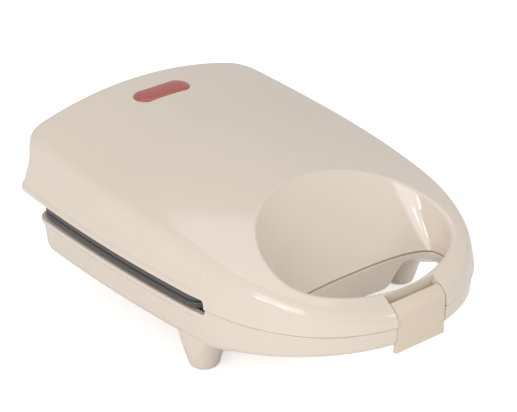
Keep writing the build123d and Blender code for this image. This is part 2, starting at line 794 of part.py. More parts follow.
with BuildPart() as lid_shell:
    add(lid_form(0))
    add(finger_hole, mode=Mode.SUBTRACT)
    add(lid_cavity.part, mode=Mode.SUBTRACT)
    add(block((-above, above), (notch_y, above), (0, lid_edge_z)), mode=Mode.SUBTRACT)
    add(edge_bead(lid_edge_z, bead_height, lid_outline))
    add(block((-half_channel, half_channel), (2 * nose_y, latch_slot_y), (0, above)), mode=Mode.SUBTRACT)
    pin_reach = half_channel + latch_pin_end
    hole = latch_pin_radius + latch_pin_play
    add(bars([(latch_pin_y, latch_pin_z)], -pin_reach, nose_block_half_width, hole, Plane.YZ),
        mode=Mode.SUBTRACT)
    add(lens_pocket.part, mode=Mode.SUBTRACT)
    for x in (-hinge_x, hinge_x):
        knuckle = (x - knuckle_reach, x + knuckle_reach)
        web = (x - wall / 2, x + wall / 2)
        add(bars([(hinge_y, hinge_z)], *knuckle, hinge_ear_radius, Plane.YZ))
        hole = hinge_pin_radius + hinge_pin_play
        add(bars([(hinge_y, hinge_z)], *knuckle, hole, Plane.YZ), mode=Mode.SUBTRACT)
    add(bars(corner_spots, 0, upper_boss_z + screw_grip + hole_spare, screw_radius + thread_play),
        mode=Mode.SUBTRACT)
    pilot = small_screw_radius + thread_play
    add(bars(shield_spots, 0, shield_top_z + small_screw_grip + hole_spare, pilot), mode=Mode.SUBTRACT)
    add(bars(holder_spots, 0, holder_top_z + small_screw_grip + hole_spare, pilot), mode=Mode.SUBTRACT)

# Upper cooking plate
with BuildPart() as upper_plate:
    casting = plate(lid_edge_z - seat - upper_face_z, upper_rim_height, dome_depth, plate_boss_radius,
                    upper_boss_z - upper_face_z, strap_drop - seat)
    add(casting.mirror(Plane.XY).moved(Location((0, 0, upper_face_z))))
    groove_top_z = lower_face_z + crimp_height + crimp_gap
    add(crimp_ring(crimp_width + 2 * crimp_gap, upper_face_z, groove_top_z), mode=Mode.SUBTRACT)
    head_room = screw_head_height + screw_play
    add(bars(corner_spots, 0, above, screw_radius + screw_play), mode=Mode.SUBTRACT)
    add(bars(corner_spots, 0, upper_face_z + head_room, screw_head_radius + screw_play), mode=Mode.SUBTRACT)
    add(bars(strap_spots, upper_strap_z - small_screw_grip - hole_spare, above, pilot), mode=Mode.SUBTRACT)
    upper_web_z = upper_face_z + plate_web
    tab_pilot_z = upper_web_z - thermostat_screw_grip
    add(bars(thermostat_spots, tab_pilot_z - thread_play, above, pilot), mode=Mode.SUBTRACT)

with BuildPart() as upper_plate_screws:
    add(screws(corner_spots, upper_face_z + head_room - seat, upper_boss_z + screw_grip, screw_radius,
               screw_head_radius, screw_head_height))

with BuildPart() as upper_heater:
    add(heater(upper_face_z + heater_drop))

with BuildPart() as upper_heater_straps:
    add(straps(upper_strap_z, upper_strap_z + strap_thickness))

with BuildPart() as upper_strap_screws:
    head_z = upper_strap_z + strap_thickness + seat
    add(screws(strap_spots, head_z, upper_strap_z - small_screw_grip, small_screw_radius,
               small_head_radius, small_head_height))

with BuildPart() as upper_reflector:
    add(shield(upper_shield_z))
    room = thermostat_radius + shield_clear
    add(bars([(sensor_x, plate_mid_y)], 0, above, room), mode=Mode.SUBTRACT)

with BuildPart() as upper_reflector_screws:
    head_z = upper_shield_z - seat
    add(screws(shield_spots, head_z, shield_top_z + small_screw_grip, small_screw_radius,
               small_head_radius, small_head_height))

# Thermostat on the upper plate
thermostat_low_z = upper_web_z + seat
thermostat_top_z = thermostat_low_z + thermostat_height
flange_top_z = thermostat_low_z + thermostat_flange[2]
with BuildPart() as thermostat:
    add(bars([(sensor_x, plate_mid_y)], thermostat_low_z, thermostat_top_z, thermostat_radius))
    half_x, half_y = thermostat_flange[0] / 2, thermostat_flange[1] / 2
    add(block((sensor_x - half_x, sensor_x + half_x), (plate_mid_y - half_y, plate_mid_y + half_y),
              (thermostat_low_z, flange_top_z)))
    for x in (sensor_x - thermostat_tab_x, sensor_x + thermostat_tab_x):
        tab_x = (x - thermostat_tab[1] / 2, x + thermostat_tab[1] / 2)
        tab_y = (plate_mid_y - thermostat_tab[0] / 2, plate_mid_y + thermostat_tab[0] / 2)
        add(block(tab_x, tab_y, (thermostat_top_z, thermostat_top_z + thermostat_tab[2])))
    add(bars(thermostat_spots, 0, above, small_screw_radius + screw_play), mode=Mode.SUBTRACT)

with BuildPart() as thermostat_screws:
    add(screws(thermostat_spots, flange_top_z + seat, tab_pilot_z, small_screw_radius,
               small_head_radius, small_head_height))

# Indicator window, lamps and their holder
with BuildPart() as indicator_lens:
    plug_play = lens_rim + lens_play
    skirt_play = plug_play + lens_rim_thickness
    with BuildSketch(Plane.XY.offset(holder_top_z)):
        with Locations((0, lens_y)):
            SlotOverall(lens_length, lens_width)
    extrude(amount=above)
    add(crown_solid(-lens_proud), mode=Mode.INTERSECT)
    add(crown_solid(-seat), mode=Mode.SUBTRACT)
    with BuildSketch(Plane.XY.offset(crown_height(lens_y) - lens_plug_depth)):
        with Locations((0, lens_y)):
            SlotOverall(lens_length - 2 * plug_play, lens_width - 2 * plug_play)
    extrude(until=Until.NEXT)
    with BuildSketch(Plane.XY.offset(crown_height(lens_y) - lens_plug_depth)):
        with Locations((0, lens_y)):
            SlotOverall(lens_length - 2 * skirt_play, lens_width - 2 * skirt_play)
    extrude(amount=lens_plug_depth - lens_skin, mode=Mode.SUBTRACT)

with BuildPart() as indicator_lamps:
    lamp_low_z = holder_top_z - lamp_holder_size[2]
    add(bars(lamp_spots, lamp_low_z, lamp_low_z + lamp_length, lamp_radius))
    fillet(indicator_lamps.edges().group_by(Axis.Z)[-1], lamp_radius / 2)

with BuildPart() as lamp_holder:
    half_x, half_y = lamp_holder_size[0] / 2, lamp_holder_size[1] / 2
    add(block((-half_x, half_x), (lens_y - half_y, lens_y + half_y), (lamp_low_z, holder_top_z)))
    fillet(lamp_holder.edges().filter_by(Axis.Z), half_y / 2)
    cup_radius = lamp_radius + lamp_play + lamp_cup_wall
    add(bars(lamp_spots, holder_top_z, lamp_low_z + lamp_cup_height, cup_radius))
    add(bars(lamp_spots, 0, above, lamp_radius + lamp_play), mode=Mode.SUBTRACT)
    add(bars(holder_spots, 0, above, small_screw_radius + screw_play), mode=Mode.SUBTRACT)

with BuildPart() as lamp_holder_screws:
    add(screws(holder_spots, lamp_low_z - seat, holder_top_z + small_screw_grip, small_screw_radius,
               small_head_radius, small_head_height))

# Latch
with BuildPart() as latch_pin:
    add(bars([(latch_pin_y, latch_pin_z)], seat - pin_reach, pin_reach - seat, latch_pin_radius, Plane.YZ))

with BuildPart() as latch_clip:
    half_clip = half_channel - latch_side_gap
    barrel_low_z = latch_pin_z - latch_barrel_radius
    catch_y = latch_back_y - latch_catch_clear
    with BuildSketch(Plane.YZ.offset(-half_clip)):
        with Locations((latch_pin_y, latch_pin_z)):
            Circle(latch_shoulder_radius)
        with Locations((latch_pin_y, 0)):
            Rectangle(above, 2 * barrel_low_z, mode=Mode.SUBTRACT)
        with Locations((latch_pin_y + above / 2 - screw_play, 0)):
            Rectangle(above, above, mode=Mode.SUBTRACT)
        with Locations((latch_pin_y, latch_pin_z)):
            Circle(latch_barrel_radius)
        with BuildLine():
            Polyline(
                (latch_face_y, latch_pin_z),
                (latch_face_y, latch_bottom_z),
                (catch_y, latch_bottom_z),
                (catch_y, latch_bottom_z + latch_catch_height),
                (latch_inner_y, latch_bottom_z + latch_catch_height),
                (latch_inner_y, latch_pin_z),
                close=True,
            )
        make_face()
        with Locations((latch_pin_y, latch_pin_z)):
            Circle(latch_pin_radius + latch_pin_play, mode=Mode.SUBTRACT)
    extrude(amount=2 * half_clip)

# Wires
with BuildPart() as base_wires:
    pin_y = heater_rear_y + heater_pin_length + seat
    pin_z = lower_face_z - heater_drop
    block_y = terminal_y + terminal_size[1] / 2 + seat
    turn_y = clamp_y - clamp_depth / 2 - wire_gap - wire_radius
    for side in (-1, 1):
        add(tube_path([
            (side * heater_leg_x, pin_y, pin_z),
            (side * heater_leg_x, turn_y, pin_z),
            (side * terminal_pitch, turn_y, terminal_z),
            (side * terminal_pitch, block_y, terminal_z),
        ], wire_radius, wire_bend))
    low_z = floor_top_z + wire_gap + wire_radius
    lead_y = plate_mid_y + fuse_length / 2 + fuse_lead + seat
    add(tube_path([
        (-sensor_x, lead_y, fuse_z),
        (-sensor_x, lead_y + wire_bend / 2, fuse_z),
        (-base_wire_x, lead_y + 3 * wire_bend, fuse_z - wire_bend),
        (-base_wire_x, terminal_y - terminal_size[1], low_z),
        (-base_wire_x / 2, turn_y - 2 * wire_radius, low_z),
        (-wire_bend, turn_y - 2 * wire_radius, low_z),
        (0, turn_y - wire_radius, terminal_z),
        (0, block_y, terminal_z),
    ], wire_radius, wire_bend / 4))

with BuildPart() as lid_wires:
    pin_z = upper_face_z + heater_drop
    tab_z = thermostat_top_z + thermostat_tab[2] + seat
    lamp_lead_z = lamp_low_z - seat
    high_z = holder_top_z - 2 * wire_bend
    add(tube_path([
        (sensor_x - thermostat_tab_x, plate_mid_y, tab_z),
        (sensor_x - thermostat_tab_x, plate_mid_y, tab_z + 2 * wire_bend),
        (terminal_pitch, turn_y, tab_z + wire_bend),
        (heater_leg_x, turn_y, pin_z),
        (heater_leg_x, pin_y, pin_z),
    ], wire_radius, wire_bend))
    add(tube_path([
        (-lamp_x, lens_y, lamp_lead_z),
        (-lamp_x, lens_y, lamp_lead_z - 2 * wire_bend),
        (-heater_leg_x, turn_y, tab_z),
        (-heater_leg_x, turn_y, pin_z),
        (-heater_leg_x, pin_y, pin_z),
    ], wire_radius, wire_bend))
    add(tube_path([
        (lamp_x, lens_y, lamp_lead_z),
        (lamp_x, lens_y, lamp_lead_z - 2 * wire_bend),
        (sensor_x + thermostat_tab_x, plate_mid_y + well_pitch_y / 4, high_z - wire_bend),
        (sensor_x + thermostat_tab_x, plate_mid_y, high_z - wire_bend),
        (sensor_x + thermostat_tab_x, plate_mid_y, tab_z),
    ], wire_radius, wire_bend))

pieces = {
    "base_shell": base_shell,
    "foot_pads": foot_pads,
    "lower_plate": lower_plate,
    "lower_plate_screws": lower_plate_screws,
    "lower_heater": lower_heater,
    "lower_heater_straps": lower_heater_straps,
    "lower_strap_screws": lower_strap_screws,
    "lower_reflector": lower_reflector,
    "lower_reflector_screws": lower_reflector_screws,
    "thermal_fuse": thermal_fuse,
    "thermal_fuse_clip": thermal_fuse_clip,
    "thermal_fuse_screw": thermal_fuse_screw,
    "terminal_block": terminal_block,
    "terminal_screws": terminal_screws,
    "cord_grommet": cord_grommet,
    "cord_clamp": cord_clamp,
    "cord_clamp_screws": cord_clamp_screws,
    "base_wires": base_wires,
    "hinge_pins": hinge_pins,
    "lid_shell": lid_shell,
    "upper_plate": upper_plate,
    "upper_plate_screws": upper_plate_screws,
    "upper_heater": upper_heater,
    "upper_heater_straps": upper_heater_straps,
    "upper_strap_screws": upper_strap_screws,
    "upper_reflector": upper_reflector,
    "upper_reflector_screws": upper_reflector_screws,
    "thermostat": thermostat,
    "thermostat_screws": thermostat_screws,
    "indicator_lens": indicator_lens,
    "indicator_lamps": indicator_lamps,
    "lamp_holder": lamp_holder,
    "lamp_holder_screws": lamp_holder_screws,
    "lid_wires": lid_wires,
    "latch_pin": latch_pin,
    "latch_clip": latch_clip,
}
for label, piece in pieces.items():
    piece.part.label = label
    export_step(piece.part, f"parts/{label}.step")
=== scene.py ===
import bpy
import numpy as np
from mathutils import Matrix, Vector


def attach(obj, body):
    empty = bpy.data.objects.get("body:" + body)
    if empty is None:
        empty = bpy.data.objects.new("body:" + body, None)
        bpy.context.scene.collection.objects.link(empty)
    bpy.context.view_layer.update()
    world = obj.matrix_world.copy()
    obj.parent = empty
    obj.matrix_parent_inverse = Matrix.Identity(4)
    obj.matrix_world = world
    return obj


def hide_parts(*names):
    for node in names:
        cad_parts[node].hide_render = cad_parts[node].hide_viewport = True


bl_info = {
    "name": "Pie Maker Dressing",
    "version": (1, 0, 0),
    "blender": (4, 5, 0),
    "location": "View3D > Sidebar > Pie Maker",
    "description": "Builds the visible pieces and finishes of a countertop pie maker",
    "category": "Object",
}

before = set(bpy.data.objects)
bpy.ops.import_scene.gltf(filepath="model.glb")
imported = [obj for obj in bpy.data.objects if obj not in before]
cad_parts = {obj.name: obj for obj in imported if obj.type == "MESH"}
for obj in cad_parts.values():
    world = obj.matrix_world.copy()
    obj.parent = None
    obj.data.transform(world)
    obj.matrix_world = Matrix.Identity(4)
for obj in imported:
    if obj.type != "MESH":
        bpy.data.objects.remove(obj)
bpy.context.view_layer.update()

# Lengths are in millimetres and turns in degrees; meshes are made in metres.
MM = 0.001

# Housing outline seen from above: radius and turn of each arc, the corners, and points per stretch
NOSE_Y = -119.0
NOSE = (81.0, 25.0)
SHOULDER = (69.0, 36.8)
FLANK = (103.0, 22.3)
LID_CORNER, LID_REAR_Y, LID_CORNER_ROUND = (79.6, 114.0), 118.4, 12.0
BASE_CORNER, BASE_REAR_Y, BASE_CORNER_ROUND = (82.0, 94.5), 96.0, 12.0
BASE_INSET = 0.8
SEGMENT_COUNTS = {"nose": 22, "shoulder": 24, "flank": 18, "notch": 12, "side": 56, "corner": 18, "rear": 36}
COLUMNS = sum(SEGMENT_COUNTS.values()) + 1

# Heights and slopes
LID_BOTTOM_Z, BASE_TOP_Z, SEAM_Z = 41.85, 41.15, 41.5
LID_EDGE_Z, BASE_LIP_Z = 45.9, 37.9
NOTCH_Y, NOTCH_ROUND = -46.5, 2.4
LID_DRAFT, LID_LEAN = np.tan(np.radians(8.7)), 0.07
BASE_DRAFT = np.tan(np.radians(4.0))
FLOOR_Z, FLOOR_ROUND = 18.0, 6.0
KEEL_START_Y, KEEL_SLOPE, KEEL_BLEND = -44.0, 0.1533, 4.6

# Lid's crown: where it starts, its run, height, even fall, fall at the nose and bow to the sides
CROWN_START_Y, CROWN_RUN, CROWN_TOP_Z, CROWN_FALL, CROWN_DIVE, CROWN_BOW = 117, 223, 88.6, 9.7, 23.9, 490

# Finger hole at the seam, its change up to the scoop's top and down to the underside
HOLE_Y, HOLE_HALF, HOLE_FRONT_Y, HOLE_BACK_Y, HOLE_EDGE_Z = -78, 48.5, -103.6, -66, 37.0
HOLE_CORNER, HOLE_FRONT_RUN, HOLE_POWER = 10, 25.6, 2.7
SCOOP_TOP_Z, SCOOP_SHIFT, SCOOP_WIDEN, SCOOP_FRONT, SCOOP_RUN = 80.0, 9, 6.5, 0.4, 41
HOLE_DEPTH, HOLE_BACK_DRIFT = 22.5, 7
LID_RAYS_Y = -72

# Reach of the raised underside beside the finger hole, by place; it fades in beside the middle
RAISED_Y = (-119, -112, -102, -95, -87, -77, -66, -60, -45)
RAISED_REACH = (11.5, 10, 9.2, 9.2, 10.5, 15, 21.5, 26, 28)
RAISED_X, RAISED_BEHIND_Y = (28.5, 35.5), (-80, -72)

# Free edges: the bead, the small round, and how far cavities and seam faces run on
BEAD_Y, BEAD_STEP, BEAD_SPAN = (-45.5, -36), (2.0, 4.0), 4.4
EDGE_ROUND, EDGE_NICK, HOLE_NICK = 0.6, 0.28, 0.3
EDGE_STEPS = np.concatenate((np.linspace(0, EDGE_ROUND, 4), np.linspace(1.2, BEAD_SPAN, 7)))[:, None]
CAVITY_OVERRUN, SEAM_FACE, WALL_HOLLOW = 6, 3, 0.7

# Latch channel, hinge, plates, lens and feet
CHANNEL_HALF, BASE_CHANNEL_Y, LID_CHANNEL_Y = 16.0, -113.3, -106.2
NOSE_BLOCK_HALF, NOSE_BLOCK_Y = 21, -99
HINGE_Y, HINGE_Z, HINGE_X, HINGE_BORE = 104.0, 44.0, 46.0, 2.46
KNUCKLE_RADIUS, KNUCKLE_HALF, EAR_INNER, EAR_OUTER = 5.4, 4.5, 4.8, 8.8
EAR_WALL_Y, EAR_LOW_Z = 92.6, 27.5
HINGE_WEB, HINGE_WEB_HALF = ((98.8, 44.5), (125, 46.4), (125, 95), (98.8, 95)), 1.3
LATCH_PIN_Y, LATCH_PIN_Z, LATCH_BORE = -109.8, 45.1, 1.31
LATCH_HALF, LATCH_ROUND, LATCH_HUB, LATCH_FACE_Y, LATCH_LOW_Z = 15.5, 6.4, 3.1, -116.2, 26.2
PLATE_FRONT_Y, PLATE_REAR_Y, PLATE_MID_Y = -42.5, 91.0, 22.25
PLATE_INSET, PLATE_STEP, PLATE_SKIRT, PLATE_ROUND = 1.2, 3.0, 2.6, 9.0
PLATE_THICKNESS, FLANGE_SOFT = 2.4, 0.9
LOWER_FACE_Z, UPPER_FACE_Z = 41.75, 42.05
WELL_X, WELL_Y, WELL_RADIUS, WELL_DRAFT, WELL_KNEE, WELL_LIP = 36.5, 30.0, 26.0, 12, 4.0, 0.8
CRIMP_START, CRIMP_WIDTH = 27.1, 1.8
LENS_Y, LENS_HALF, LENS_RADIUS, LENS_PLUG, LENS_LOW_Z, LENS_SEAT = 89.0, 11.0, 6.5, 4.9, 81.4, 0.6
CORNER_SPOTS = ((-66.0, -32.0), (66.0, -32.0), (-53.0, 81.5), (53.0, 81.5))
FOOT_LOW_Z, FOOT_RADIUS, FOOT_WIDE, FOOT_HEIGHT = 0.7, 7.4, 14, 23.3

# Screws and posts: radii of posts, threads and clearances, the heights of posts, and the bores of
# each foot for its screw, the screw's head and the pad, as radius, low, high and points
POST_RADIUS, PLATE_BOSS, THREAD, CLEARANCE = 4.5, 4.2, 1.78, 2.0
POST_FOOT_Z, BASE_POST_Z, LID_POST_Z = 19.3, 29.95, 52.05
FOOT_BORES = ((CLEARANCE, 5, 35, 40), (3.9, -1, 12, 40), (5.5, -1, 1.55, 64))

# Cord bush in the rear wall, posts of the cord clamp and of the heat shield
BUSH_Z, BUSH_COLLAR, BUSH_BORE, COLLAR_Y = 27.5, 8.2, 5.45, (90.85, 96.05)
CLAMP_SPOTS, CLAMP_POST = ((-9.5, 87), (9.5, 87)), (2.5, 30.85)
SHIELD_SPOTS, SHIELD_POST, SHIELD_THREAD = ((0, -16), (0, 45)), (3.6, 23.4), 1.43

# Planes outside the housings, for blocks and cuts that have to reach past them
BEYOND_X, BEYOND_FRONT_Y, BEYOND_TOP_Z = 100, -130, 95


def linear(red, green, blue):
    """Colour given as it is written on a screen, 0 to 255, in linear light."""
    c = np.array((red, green, blue)) / 255
    return tuple(np.where(c <= 0.04045, c / 12.92, ((c + 0.055) / 1.055) ** 2.4))


class PieMakerSizes(bpy.types.PropertyGroup):
    """Sizes of the dressing, in metres."""

    wall: bpy.props.FloatProperty(
        name="Housing wall", description="Thickness of the moulded housings",
        default=2.6 * MM, min=0.5 * MM, unit="LENGTH", precision=5)
    crease_rear: bpy.props.FloatProperty(
        name="Rear crease", description="Radius between the lid's wall and its crown at the back",
        default=5.5 * MM, min=0.5 * MM, unit="LENGTH", precision=5)
    crease_nose: bpy.props.FloatProperty(
        name="Nose crease", description="Radius between the lid's wall and its crown at the handle",
        default=8.5 * MM, min=0.5 * MM, unit="LENGTH", precision=5)
    rim_rear: bpy.props.FloatProperty(
        name="Scoop rim", description="Radius of the finger scoop's rim at the back",
        default=1.4 * MM, min=0.2 * MM, unit="LENGTH", precision=5)
    rim_front: bpy.props.FloatProperty(
        name="Handle rim", description="Radius of the finger hole's rim on the handle",
        default=3.2 * MM, min=0.2 * MM, unit="LENGTH", precision=5)
    bead: bpy.props.FloatProperty(
        name="Edge bead", description="How far the bead along the housings' edges stands out",
        default=0.8 * MM, min=0.0, unit="LENGTH", precision=5)


class PieMakerColours(bpy.types.PropertyGroup):
    """Colours of the finishes."""

    housing: bpy.props.FloatVectorProperty(
        name="Housing", description="Cream of the moulded housings", subtype="COLOR",
        default=linear(222, 209, 195), min=0, max=1)
    latch: bpy.props.FloatVectorProperty(
        name="Latch", description="Matt cream of the latch", subtype="COLOR",
        default=linear(220, 204, 185), min=0, max=1)
    plate: bpy.props.FloatVectorProperty(
        name="Plates", description="Coated cooking plates", subtype="COLOR",
        default=linear(78, 76, 74), min=0, max=1)
    lens: bpy.props.FloatVectorProperty(
        name="Indicator", description="Red of the indicator window", subtype="COLOR",
        default=linear(186, 92, 84), min=0, max=1)


def heading_point(centre_x, centre_y, radius, heading):
    """Point of an arc where its travel has a heading: centre plus radius times (sin, minus cos)."""
    return np.stack((centre_x + radius * np.sin(heading), centre_y - radius * np.cos(heading)), -1)


def half_outline(inset, corner, rear_y, corner_round):
    """Right half of the housing's outline drawn in by an inset for each entry.

    Tangent arcs turn round the nose and the flank, an arc runs to the corner, a fillet turns it, and
    a wide arc bows across the rear. Columns are places along it; rows may have their own insets.
    """
    parts = []
    start = 0

    def take(name):
        nonlocal start
        count = SEGMENT_COUNTS[name]
        piece = inset[:, start:start + count]
        start += count
        return piece, np.arange(count) / count

    centre, turn = np.array((0.0, NOSE_Y + NOSE[0])), 0.0
    for name, (radius, degrees), following in (("nose", NOSE, SHOULDER), ("shoulder", SHOULDER, FLANK)):
        last, turn = turn, turn + np.radians(degrees)
        i, t = take(name)
        parts.append(heading_point(*centre, radius - i, last + (turn - last) * t))
        centre = centre + (radius - following[0]) * np.array((np.sin(turn), -np.cos(turn)))
    last, turn = turn, turn + np.radians(FLANK[1])
    i, t = take("flank")
    notch = np.arccos((centre[1] - NOTCH_Y) / (FLANK[0] - i))
    parts.append(heading_point(*centre, FLANK[0] - i, last + (notch - last) * t))
    i, t = take("notch")
    notch = np.arccos((centre[1] - NOTCH_Y) / (FLANK[0] - i))
    parts.append(heading_point(*centre, FLANK[0] - i, notch + (turn - notch) * t))

    def rear_arcs(i):
        """Centres, radii and headings of the side arc, the corner fillet and the rear arc."""
        first = heading_point(*centre, FLANK[0] - i, turn)
        goal = np.stack((corner[0] - i, corner[1] - i), -1)
        left = np.array((-np.sin(turn), np.cos(turn)))
        step = goal - first
        side_radius = (step**2).sum(-1) / (2 * step @ left)
        side_centre = first + side_radius[..., None] * left
        drop = rear_y - corner[1]
        rear_radius = ((corner[0] - i) ** 2 + drop**2) / (2 * drop)
        rear_centre = np.stack((0 * i, rear_y - i - rear_radius), -1)
        between = rear_centre - side_centre
        gap = np.linalg.norm(between, axis=-1)
        near, far = np.abs(side_radius - corner_round), rear_radius - corner_round
        along = (near**2 - far**2 + gap**2) / (2 * gap)
        across = np.sqrt(near**2 - along**2)
        unit = between / gap[..., None]
        square = np.stack((-unit[..., 1], unit[..., 0]), -1)
        options = [side_centre + along[..., None] * unit + s * across[..., None] * square for s in (1, -1)]
        pick = np.linalg.norm(options[0] - goal, axis=-1) < np.linalg.norm(options[1] - goal, axis=-1)
        middle = np.where(pick[..., None], options[0], options[1])
        toward = (middle - side_centre) / (side_radius - corner_round)[..., None]
        away = (middle - rear_centre) / far[..., None]
        return (side_centre, side_radius, np.arctan2(toward[..., 0], -toward[..., 1]), middle,
                np.arctan2(away[..., 0], -away[..., 1]), rear_centre, rear_radius)

    i, t = take("side")
    c, r, end, *_ = rear_arcs(i)
    parts.append(heading_point(c[..., 0], c[..., 1], r, turn + (end - turn) * t))
    i, t = take("corner")
    _, _, end, c, out, _, _ = rear_arcs(i)
    parts.append(heading_point(c[..., 0], c[..., 1], corner_round, end + (out - end) * t))
    i = inset[:, start:]
    t = np.linspace(0, 1, i.shape[1])
    *_, out, c, r = rear_arcs(i)
    parts.append(heading_point(c[..., 0], c[..., 1], r, out + (np.pi - out) * t))
    return np.concatenate(parts, 1)


def crown(x, y):
    """Height of the lid's crown: a slow fall that steepens to the nose, bowed down to the sides."""
    run = (CROWN_START_Y - y) / CROWN_RUN
    return CROWN_TOP_Z - CROWN_FALL * run - CROWN_DIVE * np.sign(run) * np.abs(run) ** 5 - x**2 / CROWN_BOW


def lid_wall(z, extra):
    """Lid's outer wall at heights z, drawn in by an extra inset: drafted inwards, leaning backwards."""
    rise = z - LID_BOTTOM_Z
    plan = half_outline(extra + LID_DRAFT * rise, LID_CORNER, LID_REAR_Y, LID_CORNER_ROUND)
    return plan + np.stack((0 * rise, LID_LEAN * rise), -1)


def base_wall(z, extra):
    """Base's outer wall at heights z: drafted inwards below its top."""
    inset = extra + BASE_INSET + BASE_DRAFT * (BASE_TOP_Z - z)
    return half_outline(inset, BASE_CORNER, BASE_REAR_Y, BASE_CORNER_ROUND)


def egg(angle, z, grow):
    """Finger hole at heights z: in each direction from its centre, the edge of a squared oval.

    Its half width, front and back change with the height from the straight hole to the scoop.
    """
    rise = np.clip((z - SEAM_Z) / (SCOOP_TOP_Z - SEAM_Z), 0, None)
    fall = np.clip((SEAM_Z - z) / HOLE_DEPTH, 0, 1.2)
    blend = np.minimum(rise, 1)
    centre = HOLE_Y + SCOOP_SHIFT * blend
    across = HOLE_HALF + SCOOP_WIDEN * blend + grow
    front = centre - (HOLE_FRONT_Y - SCOOP_FRONT * blend) + grow
    back = HOLE_BACK_Y + SCOOP_RUN * rise**0.75 + HOLE_BACK_DRIFT * fall - centre + grow
    behind = np.sin(angle) > 0
    power = np.where(behind, HOLE_POWER - 0.45 * np.minimum(1, 2 * blend), 2)
    reach = np.where(behind, back, front)
    total = np.abs(np.cos(angle) / across) ** power + np.abs(np.sin(angle) / reach) ** power
    radius = total ** (-1 / power)
    return np.stack((radius * np.cos(angle), centre + radius * np.sin(angle)), -1)


def lift(plan, z):
    """Points of a plan at heights z."""
    return np.concatenate((plan, z[..., None]), -1)


def laid_on(surface, plan):
    """Points of a plan at a surface's heights."""
    return lift(plan, surface(plan[..., 0], plan[..., 1]))


def meet(height, place, z):
    """Height at which a wall meets a surface, from a first guess z: the surface's height over the
    wall, taken again."""
    for _ in range(12):
        plan = place(z)
        z = z + 0.7 * (height(plan[..., 0], plan[..., 1]) - z)
    return z


def unit(vector):
    """Vectors scaled to length one."""
    return vector / np.linalg.norm(vector, axis=-1, keepdims=True)


def rounded(before, crease, after, count):
    """Rows of a circular round: a weighted quadratic curve between two walls about their crease."""
    cosine = (unit(crease - before) * unit(after - crease)).sum(-1, keepdims=True)
    weight = np.sqrt((1 + cosine) / 2)
    t = np.linspace(0, 1, count)[:, None, None]
    share = (1 - t) ** 2, 2 * weight * t * (1 - t), t**2
    return (share[0] * before + share[1] * crease + share[2] * after) / sum(share)


def reach_of(radius, first, second):
    """Distance from a crease at which a round of this radius starts: radius times tan of half the turn."""
    cosine = (unit(first) * unit(second)).sum(-1)
    return radius * np.sqrt((1 - cosine) / (1 + cosine))


def level_part(length, direction):
    """Level part of a length along a direction."""
    return length * np.linalg.norm(direction[..., :2], axis=-1) / np.linalg.norm(direction, axis=-1)


def smooth(low, high, value):
    """Soft step from 0 to 1 between two values."""
    t = np.clip((value - low) / (high - low), 0, 1)
    return t * t * (3 - 2 * t)


def both_halves(rows):
    """Closed rows made of the right half and its mirror image."""
    left = rows[:, -2:0:-1] * np.array((-1, 1, 1))
    return np.concatenate((rows, left), 1)


def ring_mesh(rows):
    """Vertices and faces of a grid that closes in both directions, its faces pointing outwards."""
    count, across = rows.shape[:2]
    index = np.arange(count * across).reshape(count, across)
    down, right = np.roll(index, -1, 0), np.roll(index, -1, 1)
    faces = np.stack((index, right, np.roll(down, -1, 1), down), -1).reshape(-1, 4)
    points = rows.reshape(-1, 3)
    a, b, c, d = (points[faces[:, k]] for k in range(4))
    volume = (a * np.cross(b, c)).sum() + (a * np.cross(c, d)).sum()
    return points, (faces if volume > 0 else faces[:, ::-1]).tolist()


def grid_faces(count, around):
    """Faces between rows of points listed one after another, each row closed."""
    k = np.arange((count - 1) * around).reshape(count - 1, around)
    following = np.roll(k, -1, 1)
    return np.stack((k, following, following + around, k + around), -1).reshape(-1, 4)


def capped_grid(rows):
    """Vertices and faces of closed rows, with the first and the last row filled."""
    count, around = rows.shape[:2]
    caps = [list(range(around))[::-1], list(range((count - 1) * around, count * around))]
    return rows.reshape(-1, 3), grid_faces(count, around).tolist() + caps


def prism_mesh(outline, low, high, axis="Z"):
    """Vertices and faces of an outline carried straight from low to high along an axis."""
    outline = np.asarray(outline, float)
    following = np.roll(outline, -1, 0)
    area = (outline[:, 0] * following[:, 1] - outline[:, 1] * following[:, 0]).sum()
    if area < 0:
        outline = outline[::-1]
    rows = np.stack([np.insert(outline, 2, level, 1) for level in (low, high)])
    return capped_grid(rows[..., {"Z": (0, 1, 2), "X": (2, 0, 1), "Y": (1, 2, 0)}[axis]])


def block(x, y, z):
    """Box between two values of each axis."""
    return prism_mesh(((x[0], y[0]), (x[1], y[0]), (x[1], y[1]), (x[0], y[1])), *z)


def circle(centre, radius, count=48, squash=1.0):
    """Points round a circle."""
    angle = 2 * np.pi * (np.arange(count) + 0.5) / count
    return np.stack((centre[0] + radius * np.cos(angle), centre[1] + squash * radius * np.sin(angle)), -1)


def slot_outline(centre, half, radius, count=20):
    """Points round a slot with two round ends."""
    angle = np.linspace(-np.pi / 2, np.pi / 2, count)
    right = np.stack((half + radius * np.cos(angle), radius * np.sin(angle)), -1)
    return np.concatenate((right, -right)) + np.array(centre)


def make_object(name, mesh_parts):
    """Object made of vertices and faces given in millimetres."""
    mesh = bpy.data.meshes.new(name)
    mesh.from_pydata((np.asarray(mesh_parts[0]) * MM).tolist(), [], mesh_parts[1])
    mesh.validate()
    made = bpy.data.objects.new(name, mesh)
    bpy.context.scene.collection.objects.link(made)
    return made


def settle(made):
    """Applies a piece's modifiers to its mesh."""
    graph = bpy.context.evaluated_depsgraph_get()
    mesh = bpy.data.meshes.new_from_object(made.evaluated_get(graph))
    made.modifiers.clear()
    made.data = mesh
    mesh.name = made.name


def combine(made, other, operation):
    """Joins a closed solid to a piece, cuts it away, or keeps what both share."""
    tool = other if isinstance(other, bpy.types.Object) else make_object("tool", other)
    change = made.modifiers.new("combine", "BOOLEAN")
    change.operation, change.solver, change.object = operation, "MANIFOLD", tool
    settle(made)
    bpy.data.objects.remove(tool)


